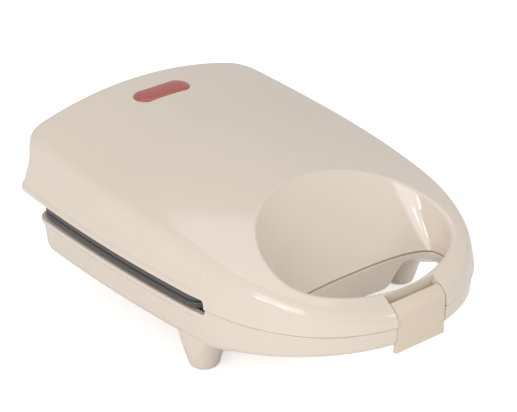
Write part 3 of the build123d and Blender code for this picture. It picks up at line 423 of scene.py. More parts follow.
def join(made, other):
    """Joins a closed solid to a piece."""
    combine(made, other, "UNION")


def cut(made, other):
    """Cuts a closed solid away from a piece."""
    combine(made, other, "DIFFERENCE")


def finish_surface(made, material, angle=30):
    """Gives a piece its finish and smooth faces with sharp edges where it turns by more than an angle."""
    made.data.materials.clear()
    made.data.materials.append(material)
    made.data.shade_smooth()
    made.data.set_sharp_from_angle(angle=np.radians(angle))


# Housings


def nick_at(distance):
    """Share of an edge's small round at a distance from it."""
    return (1 - np.clip(distance / EDGE_ROUND, 0, 1)) ** 2


def edge_out(distance, bead, mask):
    """How far a housing's wall stands out near its free edge: a bead behind the notch, a small round."""
    step = 1 - smooth(*BEAD_STEP, distance)
    return bead * mask * step - (EDGE_NICK + 0.3 * mask) * nick_at(distance)


def notch_rise(y):
    """Share of the notch's height at a place on the outline: a quarter circle, then level."""
    t = np.clip((y - NOTCH_Y) / NOTCH_ROUND, 0, 1)
    return np.sqrt(1 - (1 - t) ** 2)


def edge_of(plan, seam_z, edge_z):
    """Height of a housing's free edge along its outline, and the share of the bead there."""
    edge = seam_z + (edge_z - seam_z) * notch_rise(plan[:, 1])[None]
    return edge, smooth(*BEAD_Y, plan[:, 1])[None]


def lid_rows(sizes, skin):
    """Closed rows of the lid's outer form, or of its cavity where a skin is given.

    From the free edge up the drafted wall, round the crease, over the crown, round the scoop's rim,
    down the scoop and the finger hole, and back along the bottom.
    """
    ones = np.ones((1, COLUMNS))
    grow = skin * ones
    plan = lid_wall(LID_BOTTOM_Z * ones, 0 * ones)[0]
    angle = np.arctan2(plan[:, 1] - LID_RAYS_Y, plan[:, 0])[None]
    edge, mask = edge_of(plan, LID_BOTTOM_Z, LID_EDGE_Z)
    top = lambda x, y: crown(x, y) - skin
    on_wall = lambda z, inset: lift(lid_wall(z, inset), z)
    on_hole = lambda z, more: lift(egg(angle, z, more), z)

    crease_z = meet(top, lambda z: lid_wall(z, grow), 75 * ones)
    crease = on_wall(crease_z, grow)
    below = on_wall(crease_z - 1, grow)
    inside = laid_on(top, lid_wall(crease_z, (skin + 1) * ones))
    front = 1 - smooth(-95, 60, plan[:, 1])[None]
    radius = (sizes.crease_rear + (sizes.crease_nose - sizes.crease_rear) * front) / MM - skin
    reach = reach_of(radius, crease - below, inside - crease)
    start_z = crease_z - reach * (unit(crease - below)[..., 2])
    wall_start = on_wall(start_z, grow)
    crown_start = laid_on(top, lid_wall(crease_z, skin + level_part(reach, inside - crease)))

    low = LID_BOTTOM_Z * ones
    if skin:
        low = (LID_BOTTOM_Z - CAVITY_OVERRUN) * ones
        z = low + (start_z - low) * np.linspace(0, 1, 14)[:, None]
        wall = on_wall(z, skin + 0 * z)
    else:
        span = np.minimum(BEAD_SPAN, 0.8 * (start_z - edge))
        more = np.linspace(0, 1, 12)[1:, None]
        z = np.concatenate((edge + EDGE_STEPS * span / BEAD_SPAN,
                            edge + span + (start_z - edge - span) * more))
        share = np.clip((z - edge - span) / (start_z - edge - span), 0, 1)
        hollow = WALL_HOLLOW * mask * np.sin(np.pi * share) ** 2
        wall = on_wall(z, hollow - edge_out(z - edge, sizes.bead / MM, mask))

    rim_z = meet(top, lambda z: egg(angle, z, grow), 70 * ones)
    rim = on_hole(rim_z, grow)
    outside = laid_on(top, egg(angle, rim_z, grow + 1))
    under = on_hole(rim_z - 1, grow)
    front = 1 - smooth(-0.35, 0.45, np.sin(angle))
    radius = (sizes.rim_rear + (sizes.rim_front - sizes.rim_rear) * front) / MM + 0.3 * skin
    reach = reach_of(radius, rim - outside, under - rim)
    crown_end = laid_on(top, egg(angle, rim_z, grow + level_part(reach, outside - rim)))
    down_z = rim_z - reach * np.abs(unit(under - rim)[..., 2])
    scoop_start = on_hole(down_z, grow)

    t = np.linspace(0, 1, 46)[1:-1, None, None]
    over = laid_on(top, crown_start[..., :2] + (crown_end - crown_start)[..., :2] * t)
    z = down_z + (low - down_z) * np.linspace(0, 1, 34)[1:, None] ** 1.15
    nick = 0 if skin else HOLE_NICK * nick_at(z - LID_BOTTOM_Z)
    rows = [wall[:-1], rounded(wall_start, crease, crown_start, 9), over,
            rounded(crown_end, rim, scoop_start, 8), on_hole(z, grow + nick)]
    if not skin:
        rows += [on_hole(low, grow + SEAM_FACE), on_wall(edge, SEAM_FACE * ones)]
    return both_halves(np.concatenate(rows))


def keel(y):
    """Height of the base's underside: level, then rising evenly to the nose past a soft bend."""
    run = KEEL_START_Y - y
    bend = KEEL_SLOPE * (run + KEEL_BLEND) ** 2 / (4 * KEEL_BLEND)
    return FLOOR_Z + np.where(run < -KEEL_BLEND, 0, np.where(run > KEEL_BLEND, KEEL_SLOPE * run, bend))


def from_hole(x, y):
    """Distance outside the finger hole: to a rounded corner behind its centre, else to an ellipse."""
    corner_x, corner_y = HOLE_HALF - HOLE_CORNER, HOLE_BACK_Y - HOLE_CORNER
    behind = np.hypot(np.clip(np.abs(x) - corner_x, 0, None), np.clip(y - corner_y, 0, None)) - HOLE_CORNER
    level = np.hypot(x / HOLE_HALF, (y - HOLE_Y) / HOLE_FRONT_RUN)
    before = (level - 1) * level / np.hypot(x / HOLE_HALF**2, (y - HOLE_Y) / HOLE_FRONT_RUN**2)
    return np.where(y > HOLE_Y, behind, before)


def underside(x, y):
    """Height of the base's underside: the keel, raised evenly towards the finger hole, so that the
    handle's lower half is thin on the inside. Straight behind the hole it isn't raised."""
    share = np.clip(1 - from_hole(x, y) / np.interp(y, RAISED_Y, RAISED_REACH), 0, 1)
    beside = np.maximum(smooth(*RAISED_X, np.abs(x)), 1 - smooth(*RAISED_BEHIND_Y, y))
    return keel(y) + beside * share * (HOLE_EDGE_Z - keel(y))


def base_rows(sizes, skin):
    """Closed rows of the base's outer form, or of its cavity: down the wall, round to the underside,
    across to the finger hole, up its wall and back along the top."""
    ones = np.ones((1, COLUMNS))
    grow = skin * ones
    plan = base_wall(BASE_TOP_Z * ones, 0 * ones)[0]
    angle = np.arctan2(plan[:, 1] - HOLE_Y, plan[:, 0])[None]
    edge, mask = edge_of(plan, BASE_TOP_Z, BASE_LIP_Z)
    floor = lambda x, y: underside(x, y) + skin
    on_wall = lambda z, inset: lift(base_wall(z, inset), z)
    on_hole = lambda z, more: lift(egg(angle, z, more), z)

    crease_z = meet(floor, lambda z: base_wall(z, grow), 20 * ones)
    crease = on_wall(crease_z, grow)
    reach = (FLOOR_ROUND - skin) * np.tan(np.radians(43)) * ones
    start_z = crease_z + reach
    floor_start = laid_on(floor, base_wall(crease_z, skin + reach))
    wall_start = on_wall(start_z, grow)
    top = BASE_TOP_Z * ones
    if skin:
        top = (BASE_TOP_Z + CAVITY_OVERRUN) * ones
        z = top + (start_z - top) * np.linspace(0, 1, 8)[:, None]
        wall = on_wall(z, skin + 0 * z)
    else:
        more = np.linspace(0, 1, 7)[1:, None]
        z = np.concatenate((edge - EDGE_STEPS, edge - BEAD_SPAN + (start_z - edge + BEAD_SPAN) * more))
        wall = on_wall(z, -edge_out(edge - z, sizes.bead / MM, mask))

    rim_z = meet(floor, lambda z: egg(angle, z, grow), 22 * ones)
    rim = on_hole(rim_z, grow)
    soft = 1.8 + 0.3 * skin
    floor_end = laid_on(floor, egg(angle, rim_z, grow + soft))
    hole_start = on_hole(rim_z + soft, grow)
    t = np.linspace(0, 1, 26)[1:-1, None, None]
    under = laid_on(floor, floor_start[..., :2] + (floor_end - floor_start)[..., :2] * t)
    z = rim_z + soft + (top - rim_z - soft) * (1 - (1 - np.linspace(0, 1, 14)[1:, None]) ** 1.5)
    nick = 0 if skin else HOLE_NICK * nick_at(BASE_TOP_Z - z)
    rows = [wall[:-1], rounded(wall_start, crease, floor_start, 9), under,
            rounded(floor_end, rim, hole_start, 7), on_hole(z, grow + nick)]
    if not skin:
        rows += [on_hole(top, grow + SEAM_FACE), on_wall(edge, SEAM_FACE * ones)]
    return both_halves(np.concatenate(rows))


def ear_profile():
    """Side of a hinge ear: a round end about the pin and an arm back to the rear wall, as (y, z)."""
    angle = np.radians(np.linspace(-45, 150, 27))
    end = np.stack((HINGE_Y + KNUCKLE_RADIUS * np.cos(angle), HINGE_Z + KNUCKLE_RADIUS * np.sin(angle)), -1)
    return np.concatenate((end, ((EAR_WALL_Y, BASE_LIP_Z), (EAR_WALL_Y, EAR_LOW_Z))))


def foot_mesh(x, y):
    """Tapered foot: circles whose radius grows with height, kept just inside the base's outline."""
    ones = np.ones((1, COLUMNS))
    half = base_wall(FLOOR_Z * ones, 0.8 * ones)[0]
    around = np.concatenate((half, half[-2:0:-1] * (-1, 1))) - (x, y)
    direction = np.arctan2(around[:, 1], around[:, 0])
    order = np.argsort(direction)
    angle = 2 * np.pi * np.arange(72) / 72 - np.pi
    limit = np.interp(angle, direction[order], np.linalg.norm(around, axis=1)[order], period=2 * np.pi)
    z = np.array((FOOT_LOW_Z, 0.72, 0.9, 1.3, 1.8, 2.4, 3.4, 8, 14, 19, 24))
    cone = FOOT_RADIUS + (FOOT_WIDE - FOOT_RADIUS) * (z - FOOT_LOW_Z) / FOOT_HEIGHT
    cone[:5] -= np.array((1.5, 1.35, 0.75, 0.35, 0.1))
    radius = np.minimum(cone[:, None], limit[None])
    rows = np.stack((x + radius * np.cos(angle), y + radius * np.sin(angle), z[:, None] + 0 * radius), -1)
    return capped_grid(rows)


def bar(spot, radius, low, high, axis="Z", count=40):
    """Round bar along an axis."""
    return prism_mesh(circle(spot, radius, count), low, high, axis)


def inner_pieces(name, pieces, form):
    """Walls, blocks and posts inside a housing, kept within the middle of its wall."""
    inner = make_object(name, pieces[0])
    for piece in pieces[1:]:
        join(inner, piece)
    combine(inner, ring_mesh(form), "INTERSECT")
    return inner


def cross_walls(wall, z):
    """Wall along the notch and the block at the nose, both reaching past the housing."""
    return [block((-BEYOND_X, BEYOND_X), (NOTCH_Y - wall, NOTCH_Y), z),
            block((-NOSE_BLOCK_HALF, NOSE_BLOCK_HALF), (BEYOND_FRONT_Y, NOSE_BLOCK_Y), z)]


def make_lid(sizes, material):
    """Lid housing: its form less its cavity, with the cross wall, bosses, hinge knuckles and slots."""
    wall = sizes.wall / MM
    lid = make_object("lid_housing", ring_mesh(lid_rows(sizes, 0)))
    cut(lid, ring_mesh(lid_rows(sizes, wall)))
    pieces = cross_walls(wall, (LID_BOTTOM_Z, BEYOND_TOP_Z))
    pieces += [bar(spot, POST_RADIUS, LID_POST_Z, BEYOND_TOP_Z) for spot in CORNER_SPOTS]
    for x in (-HINGE_X, HINGE_X):
        pieces.append(prism_mesh(HINGE_WEB, x - HINGE_WEB_HALF, x + HINGE_WEB_HALF, "X"))
    join(lid, inner_pieces("lid_inner", pieces, lid_rows(sizes, wall / 2)))
    for spot in CORNER_SPOTS:
        cut(lid, bar(spot, THREAD, 45, 60.6))
    for x in (-HINGE_X, HINGE_X):
        join(lid, bar((HINGE_Y, HINGE_Z), KNUCKLE_RADIUS, x - KNUCKLE_HALF, x + KNUCKLE_HALF, "X", 64))
        cut(lid, bar((HINGE_Y, HINGE_Z), HINGE_BORE, x - 5, x + 5, "X"))
    cut(lid, block((-CHANNEL_HALF, CHANNEL_HALF), (BEYOND_FRONT_Y, LID_CHANNEL_Y), (30, 70)))
    cut(lid, bar((LATCH_PIN_Y, LATCH_PIN_Z), LATCH_BORE, -19.5, 19.5, "X"))
    cut(lid, prism_mesh(slot_outline((0, LENS_Y), LENS_HALF, 5.0), 80, 100))
    finish_surface(lid, material)
    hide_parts("lid_shell")
    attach(lid, "lid")
    return lid


def make_base(sizes, material):
    """Base housing: its form and feet less its cavity, with the cross wall, ears, posts and slots."""
    wall = sizes.wall / MM
    base = make_object("base_housing", ring_mesh(base_rows(sizes, 0)))
    for spot in CORNER_SPOTS:
        join(base, foot_mesh(*spot))
    cut(base, ring_mesh(base_rows(sizes, wall)))
    join(base, inner_pieces("base_inner", cross_walls(wall, (0, BASE_TOP_Z)), base_rows(sizes, wall / 2)))
    for spot in CORNER_SPOTS:
        join(base, bar(spot, POST_RADIUS, POST_FOOT_Z, BASE_POST_Z))
        for radius, low, high, count in FOOT_BORES:
            cut(base, bar(spot, radius, low, high, count=count))
    for x in (-HINGE_X, HINGE_X):
        for low, high in ((x - EAR_OUTER, x - EAR_INNER), (x + EAR_INNER, x + EAR_OUTER)):
            join(base, prism_mesh(ear_profile(), low, high, "X"))
        cut(base, bar((HINGE_Y, HINGE_Z), HINGE_BORE, x - 9, x + 9, "X"))
    join(base, bar((BUSH_Z, 0), BUSH_COLLAR, *COLLAR_Y, "Y", 64))
    cut(base, bar((BUSH_Z, 0), BUSH_BORE, 85, 100, "Y", 64))
    for spot in CLAMP_SPOTS:
        join(base, bar(spot, CLAMP_POST[0], POST_FOOT_Z, CLAMP_POST[1]))
    for spot in SHIELD_SPOTS:
        join(base, bar(spot, SHIELD_POST[0], POST_FOOT_Z, SHIELD_POST[1]))
        cut(base, bar(spot, SHIELD_THREAD, 19.4, 30))
    cut(base, block((-CHANNEL_HALF, CHANNEL_HALF), (BEYOND_FRONT_Y, BASE_CHANNEL_Y), (10, 60)))
    finish_surface(base, material)
    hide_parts("base_shell")
    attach(base, "base")
    return base


# Cooking plates


def plate_side(step=0.0, inset=0.0):
    """Right side of a plate's outline from its front middle to its rear middle, with round corners."""
    front, rear, turn = PLATE_FRONT_Y + inset, PLATE_REAR_Y - step - inset, PLATE_ROUND - inset
    ones = np.ones((1, COLUMNS))
    half = lid_wall(LID_BOTTOM_Z * ones, (PLATE_INSET + step + inset) * ones)[0]
    rising = half[:-SEGMENT_COUNTS["corner"] - SEGMENT_COUNTS["rear"] - 1]
    at = lambda y: np.interp(y, rising[:, 1], rising[:, 0])
    keep = np.linspace(front + turn, rear - turn, 33)
    corners = []
    for y, next_y in ((front, front + turn), (rear, rear - turn)):
        ends = np.array(((at(y) - turn, y), (at(y), y), (at(next_y), next_y)))
        corners.append(rounded(*ends[:, None, None], 10)[:, 0])
    share = np.linspace(0, 1, 14)[:-1, None]
    first = (0, front) + (corners[0][0] - (0, front)) * share
    last = (0, rear) + (corners[1][0] - (0, rear)) * share
    side = np.stack((at(keep), keep), -1)
    return np.concatenate((first, corners[0], side[1:-1], corners[1][::-1], last[::-1]))


def well_profile(depth, crimp):
    """Radii and heights from a well's middle: flat floor, round knee, drafted wall, lip and crimp."""
    wall_turn = 90 - WELL_DRAFT
    floor_radius = WELL_RADIUS - np.tan(np.radians(WELL_DRAFT)) * depth
    lean = np.radians(np.linspace(0, wall_turn, 7))
    flat = floor_radius - WELL_KNEE * np.tan(np.radians(wall_turn / 2))
    lip = np.radians(np.linspace(WELL_DRAFT, 90, 6)) - np.radians(WELL_DRAFT)
    ridge = np.linspace(0, 1, 9)
    radii = (np.linspace(0.02, 0.85, 5) * flat, flat + WELL_KNEE * np.sin(lean),
             WELL_RADIUS + WELL_LIP - WELL_LIP * np.cos(lip), CRIMP_START + CRIMP_WIDTH * ridge)
    heights = (-depth + np.zeros(5), -depth + WELL_KNEE * (1 - np.cos(lean)),
               -WELL_LIP + WELL_LIP * np.sin(lip / np.radians(wall_turn) * np.pi / 2),
               crimp * np.sin(np.pi * ridge) ** 0.7)
    return np.concatenate(radii), np.concatenate(heights)


def plate_surface(depth, flange_height, crimp):
    """Cooking side of a plate at z = 0, with its flange's edge turned down.

    Each quarter is a fan of rays from its pocket's middle: out over the floor, up the drafted wall,
    over the crimp, and across to the quarter's edge. The flange's edge follows the whole outline.
    """
    outline = plate_side()
    middle = np.argmin(np.abs(outline[:, 1] - PLATE_MID_Y))
    outline[middle] = outline[middle - 1] + (outline[middle + 1] - outline[middle - 1]) * (
        (PLATE_MID_Y - outline[middle - 1, 1]) / (outline[middle + 1, 1] - outline[middle - 1, 1]))
    normal = np.gradient(outline, axis=0)
    normal = unit(np.stack((normal[:, 1], -normal[:, 0]), -1))
    normal[0], normal[-1] = (0, -1), (0, 1)
    flat_edge = outline - normal * FLANGE_SOFT
    radii, heights = well_profile(depth, crimp)
    plate_middle = np.array((0, PLATE_MID_Y))
    points, faces = [], []
    total = 0

    def add(rows, turned, caps):
        """Keeps a grid of rows; its first row is filled where a cap is wanted."""
        nonlocal total
        count, around = rows.shape[:2]
        quads = grid_faces(count, around)[:, (0, 3, 2, 1)]
        cap = np.arange(around)[None]
        if turned:
            quads, cap = quads[:, ::-1], cap[:, ::-1]
        points.append(rows.reshape(-1, 3))
        faces.extend((quads + total).tolist())
        if caps:
            faces.extend((cap + total).tolist())
        total += count * around

    for x_side in (1, -1):
        for y_side in (1, -1):
            part = (flat_edge[middle:] if y_side > 0 else flat_edge[middle::-1]).copy()
            part[0, 1] = PLATE_MID_Y
            part[-1, 0] = 0
            line = np.linspace(0, 1, 20)[:-1, None]
            bottom = plate_middle + (part[0] - plate_middle) * line
            upright = part[-1] + (plate_middle - part[-1]) * line
            loop = np.concatenate((bottom, part[:-1], upright))
            centre = np.array((WELL_X, PLATE_MID_Y + y_side * WELL_Y))
            ray = loop - centre
            direction = ray / np.linalg.norm(ray, axis=1)[:, None]
            share = np.linspace(0, 1, 4)[1:, None, None]
            start = centre + radii[-1] * direction
            plan = np.concatenate((centre + radii[:, None, None] * direction, start + (loop - start) * share))
            plan[..., 0] *= x_side
            level = np.concatenate((heights, np.zeros(3)))[:, None] + np.zeros(len(loop))
            add(lift(plan, level), x_side * y_side < 0, True)
    full = np.concatenate((outline, outline[-2:0:-1] * (-1, 1)))
    full_normal = np.concatenate((normal, normal[-2:0:-1] * (-1, 1)))
    turn = np.radians(np.linspace(0, 90, 6))
    inset = np.concatenate((FLANGE_SOFT * (1 - np.sin(turn)), (0, 0)))
    level = np.concatenate((-FLANGE_SOFT * (1 - np.cos(turn)), (-flange_height / 2, -flange_height)))
    add(lift(full - full_normal * inset[:, None, None], level[:, None] + 0 * full[:, 0]), False, False)
    return np.concatenate(points), faces


def make_plate(name, node, body, material, face_z, flip, depth, flange_height, rim_height, crimp):
    """Cooking plate: its cooking side made as a surface, then given its thickness, rim and bosses."""
    points, faces = plate_surface(depth, flange_height, crimp)
    points = points * (1, 1, -1 if flip else 1) + (0, 0, face_z)
    plate = make_object(name, (points, faces))
    select_only(plate)
    bpy.ops.object.mode_set(mode="EDIT")
    bpy.ops.mesh.select_all(action="SELECT")
    bpy.ops.mesh.remove_doubles(threshold=0.02 * MM)
    bpy.ops.mesh.normals_make_consistent(inside=False)
    bpy.ops.object.mode_set(mode="OBJECT")
    up = np.empty(len(plate.data.polygons) * 3)
    plate.data.polygons.foreach_get("normal", up)
    area = np.empty(len(plate.data.polygons))
    plate.data.polygons.foreach_get("area", area)
    if (up.reshape(-1, 3)[:, 2] * area).sum() * (-1 if flip else 1) < 0:
        plate.data.flip_normals()
    skin = plate.modifiers.new("thickness", "SOLIDIFY")
    skin.thickness, skin.offset, skin.use_even_offset = PLATE_THICKNESS * MM, -1, True
    settle(plate)
    sign = 1 if flip else -1
    outer, inner = plate_side(PLATE_STEP), plate_side(PLATE_STEP, PLATE_SKIRT)
    rim = [lift(side, face_z + sign * (drop + 0 * side[:, 0]))
           for side, drop in ((outer, 1.2), (outer, rim_height), (inner, rim_height), (inner, 1.2))]
    join(plate, ring_mesh(both_halves(np.array(rim))))
    for spot in CORNER_SPOTS:
        low, high = sorted((face_z + sign * 1.5, 52.0 if flip else 30.0))
        join(plate, bar(spot, PLATE_BOSS, low, high))
        if flip:
            cut(plate, bar(spot, CLEARANCE, 30, 60))
            cut(plate, bar(spot, 3.65, 30, face_z + 2.65))
        else:
            cut(plate, bar(spot, THREAD, 20, 38.6))
    finish_surface(plate, material, 35)
    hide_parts(node)
    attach(plate, body)
    return plate


def select_only(made):
    """Makes a piece the only selected and active one."""
    for other in bpy.context.selected_objects:
        other.select_set(False)
    made.select_set(True)
    bpy.context.view_layer.objects.active = made


# Latch and indicator


def latch_profile():
    """Side of the latch as (y, z): a round shoulder over the pin, a flat face, and a foot with a catch."""
    def arc(y, z, radius, start, end, count):
        """Points of an arc between two turns."""
        angle = np.radians(np.linspace(start, end, count))
        return np.stack((y + radius * np.cos(angle), z + radius * np.sin(angle)), -1)

    shoulder = arc(LATCH_PIN_Y, LATCH_PIN_Z, LATCH_ROUND, 92, 180, 16)
    toe = arc(LATCH_FACE_Y + 1.0, LATCH_LOW_Z + 1.0, 1.0, 180, 270, 6)
    catch = ((-113.4, LATCH_LOW_Z), (-113.4, 28.2), (-113.8, 28.3), (-113.8, 42.0))
    hub = arc(LATCH_PIN_Y, LATCH_PIN_Z, LATCH_HUB, -90, 90, 15)
    return np.concatenate((shoulder, toe, catch, hub[:-1], ((LATCH_PIN_Y, 48.3),)))


def make_latch(material):
    """Latch: its side profile carried across its width, with rounded edges."""
    latch = make_object("latch", prism_mesh(latch_profile(), -LATCH_HALF, LATCH_HALF, "X"))
    edges = latch.modifiers.new("edges", "BEVEL")
    edges.width, edges.segments, edges.limit_method, edges.angle_limit = 0.7 * MM, 3, "ANGLE", np.radians(50)
    settle(latch)
    cut(latch, bar((LATCH_PIN_Y, LATCH_PIN_Z), LATCH_BORE, -17, 17, "X"))
    finish_surface(latch, material, 40)
    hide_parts("latch_clip")
    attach(latch, "latch")
    return latch


def make_lens(material):
    """Indicator window: a plug, a rim, and slot outlines drawn in towards the middle over a dome."""
    shrink = (0, 0, 0.15, 0.5, 1.1, 1.9, 2.9, 4.1, 5.3, 6.3)
    dome = (-LENS_SEAT, 0.05, 0.4, 0.68, 0.86, 0.98, 1.08, 1.15, 1.2, 1.22)
    plug = slot_outline((0, LENS_Y), LENS_HALF, LENS_PLUG, 24)
    rows = [lift(plug, LENS_LOW_Z + 0 * plug[:, 0]), laid_on(lambda x, y: crown(x, y) - LENS_SEAT, plug)]
    for inset, height in zip(shrink, dome):
        plan = slot_outline((0, LENS_Y), LENS_HALF, LENS_RADIUS - inset, 24)
        rows.append(laid_on(lambda x, y: crown(x, y) + height, plan))
    lens = make_object("indicator_window", capped_grid(np.array(rows)))
    finish_surface(lens, material, 50)
    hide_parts("indicator_lens")
    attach(lens, "lid")
    return lens


# Finishes


def group_of(name, inputs, outputs):
    """Empty shader node group with named sockets."""
    group = bpy.data.node_groups.new(name, "ShaderNodeTree")
    for socket, kind, value in inputs:
        made = group.interface.new_socket(socket, in_out="INPUT", socket_type=kind)
        if value is not None:
            made.default_value = value
    for socket, kind in outputs:
        group.interface.new_socket(socket, in_out="OUTPUT", socket_type=kind)
    return group, group.nodes.new("NodeGroupInput"), group.nodes.new("NodeGroupOutput")


def feed(tree, socket, value):
    """Gives a socket its value: a link from another socket, or a number."""
    if isinstance(value, bpy.types.NodeSocket):
        tree.links.new(value, socket)
    else:
        socket.default_value = value


def maths(tree, operation, *values):
    """Output of a maths node whose inputs are sockets or numbers."""
    node = tree.nodes.new("ShaderNodeMath")
    node.operation = operation
    for socket, value in zip(node.inputs, values):
        feed(tree, socket, value)
    return node.outputs[0]


def noise(group, source, scale, detail):
    """Noise texture node on given coordinates."""
    node = group.nodes.new("ShaderNodeTexNoise")
    for name, value in (("Vector", source), ("Scale", scale), ("Detail", detail)):
        feed(group, node.inputs[name], value)
    return node.outputs["Fac"]


def spread(group, value, low, high):
    """Moves a noise value, which lies round one half, to a range given by two sockets or numbers."""
    node = group.nodes.new("ShaderNodeMapRange")
    node.interpolation_type = "SMOOTHERSTEP"
    for name, bound in (("Value", value), ("From Min", 0.15), ("From Max", 0.85), ("To Min", low),
                        ("To Max", high)):
        feed(group, node.inputs[name], bound)
    return node.outputs["Result"]


def grain_group():
    """Fine grain: a roughness that drifts between two values, and a height for a bump."""
    group, source, result = group_of(
        "fine_grain",
        [("Vector", "NodeSocketVector", None), ("Scale", "NodeSocketFloat", 900.0),
         ("Roughness Low", "NodeSocketFloat", 0.2), ("Roughness High", "NodeSocketFloat", 0.3)],
        [("Roughness", "NodeSocketFloat"), ("Height", "NodeSocketFloat")])
    place, scale, low, high = source.outputs[:4]
    feed(group, result.inputs["Roughness"], spread(group, noise(group, place, 24.0, 3.0), low, high))
    feed(group, result.inputs["Height"], noise(group, place, scale, 2.0))
    return group


def tone_group():
    """Slow drift of a colour between a darker and a lighter shade of it."""
    group, source, result = group_of(
        "tone_drift",
        [("Vector", "NodeSocketVector", None), ("Color", "NodeSocketColor", None),
         ("Amount", "NodeSocketFloat", 0.03), ("Scale", "NodeSocketFloat", 14.0)],
        [("Color", "NodeSocketColor")])
    drift = spread(group, noise(group, source.outputs["Vector"], source.outputs["Scale"], 4.0), -1.0, 1.0)
    shade = group.nodes.new("ShaderNodeVectorMath")
    shade.operation = "SCALE"
    feed(group, shade.inputs[0], source.outputs["Color"])
    feed(group, shade.inputs["Scale"], maths(group, "MULTIPLY_ADD", drift, source.outputs["Amount"], 1.0))
    feed(group, result.inputs["Color"], shade.outputs[0])
    return group


def shared(name, make):
    """A node group by name, made on its first use."""
    return bpy.data.node_groups.get(name) or make()


def finish_of(name, colour, rough, grain_scale=900.0, bump=0.02, tone=0.03, metal=0.0, transmission=0.0,
              coat=0.0, subsurface=0.0):
    """A procedural finish: drifting tone, drifting roughness and a fine bump."""
    material = bpy.data.materials.new(name)
    material.use_nodes = True
    tree = material.node_tree
    shader = tree.nodes["Principled BSDF"]
    place = tree.nodes.new("ShaderNodeTexCoord").outputs["Object"]
    grain = tree.nodes.new("ShaderNodeGroup")
    grain.node_tree = shared("fine_grain", grain_group)
    drift = tree.nodes.new("ShaderNodeGroup")
    drift.node_tree = shared("tone_drift", tone_group)
    relief = tree.nodes.new("ShaderNodeBump")
    for node, values in (
        (grain, {"Vector": place, "Scale": grain_scale, "Roughness Low": rough[0],
                 "Roughness High": rough[1]}),
        (drift, {"Vector": place, "Color": (*colour, 1), "Amount": tone}),
        (relief, {"Height": grain.outputs["Height"], "Strength": bump, "Distance": 0.1 * MM}),
        (shader, {"Base Color": drift.outputs["Color"], "Roughness": grain.outputs["Roughness"],
                  "Normal": relief.outputs["Normal"], "Metallic": metal, "Coat Weight": coat,
                  "Coat Roughness": 0.08, "Specular IOR Level": 0.5, "Transmission Weight": transmission,
                  "Subsurface Weight": subsurface, "Subsurface Radius": (0.004, 0.003, 0.002),
                  "Subsurface Scale": 1.0}),
    ):
        for socket, value in values.items():
            feed(tree, node.inputs[socket], value)
    return material


def housing_finish(colours):
    """Glossy cream moulded plastic, shared by both housings."""
    return bpy.data.materials.get("housing_cream") or finish_of(
        "housing_cream", colours.housing, (0.13, 0.16), 1400.0, 0.015, 0.01, coat=0.2)


# Finish of inner pieces: name, pieces, screen colour, roughness, grain scale, bump, tone, and then
# metal and transmission where there is any
INNER_FINISHES = (
    ("rubber_black", ("foot_pads", "cord_grommet"), (38, 37, 36), (0.6, 0.75), 1800.0, 0.15, 0.08),
    ("steel_bright", ("hinge_pins", "latch_pin", "lower_plate_screws", "upper_plate_screws",
                      "lower_strap_screws", "upper_strap_screws", "lower_reflector_screws",
                      "upper_reflector_screws", "thermal_fuse_screw", "thermostat_screws",
                      "lamp_holder_screws", "cord_clamp_screws"),
     (188, 186, 182), (0.25, 0.4), 2400.0, 0.08, 0.05, 1.0),
    ("element_oxide", ("lower_heater", "upper_heater"), (104, 98, 92), (0.4, 0.6), 1500.0, 0.1, 0.12, 0.9),
    ("sheet_zinc", ("lower_heater_straps", "upper_heater_straps", "thermal_fuse_clip"),
     (172, 174, 172), (0.32, 0.5), 700.0, 0.08, 0.08, 1.0),
    ("shield_aluminium", ("lower_reflector", "upper_reflector"),
     (205, 206, 206), (0.28, 0.42), 400.0, 0.06, 0.04, 1.0),
    ("fuse_case", ("thermal_fuse",), (196, 190, 178), (0.35, 0.5), 900.0, 0.05, 0.05, 0.6),
    ("terminal_white", ("terminal_block",), (226, 224, 214), (0.4, 0.5), 900.0, 0.05, 0.03),
    ("brass", ("terminal_screws",), (200, 164, 92), (0.25, 0.4), 900.0, 0.05, 0.06, 1.0),
    ("clamp_black", ("cord_clamp",), (48, 47, 46), (0.45, 0.6), 900.0, 0.08, 0.06),
    ("sleeve_white", ("base_wires", "lid_wires"), (232, 228, 218), (0.5, 0.65), 900.0, 0.1, 0.05),
    ("thermostat_case", ("thermostat",), (70, 60, 52), (0.4, 0.55), 900.0, 0.08, 0.08),
    ("lamp_glass", ("indicator_lamps",), (236, 206, 190), (0.05, 0.1), 900.0, 0.01, 0.02, 0.0, 0.6),
    ("holder_white", ("lamp_holder",), (228, 222, 210), (0.4, 0.5), 900.0, 0.05, 0.03),
)


# Stage: sizes and places in metres, lamps as name, place, width and power

STAGE_HALF, FLOOR_TONE, FLOOR_GLOW, SKY_LIGHT = 3.0, 0.92, 0.55, 0.57
LAMP_AIM = Vector((0, 0, 0.05))
LAMPS = (
    ("key", (-1.6, -0.8, 0.75), 1.1, 12.0),
    ("top", (0.3, 0.3, 1.7), 1.2, 5.5),
    ("front", (0.9, -1.6, 0.9), 0.7, 6.0),
    ("spark_near", (-1.12, -0.58, 0.30), 0.07, 0.7),
    ("spark_far", (-1.20, -0.22, 0.22), 0.07, 0.7),
)
CAMERA_PLACE, CAMERA_AIM = (-0.5363, -0.6517, 0.4965), Vector((0.0006, 0.0072, 0.0503))


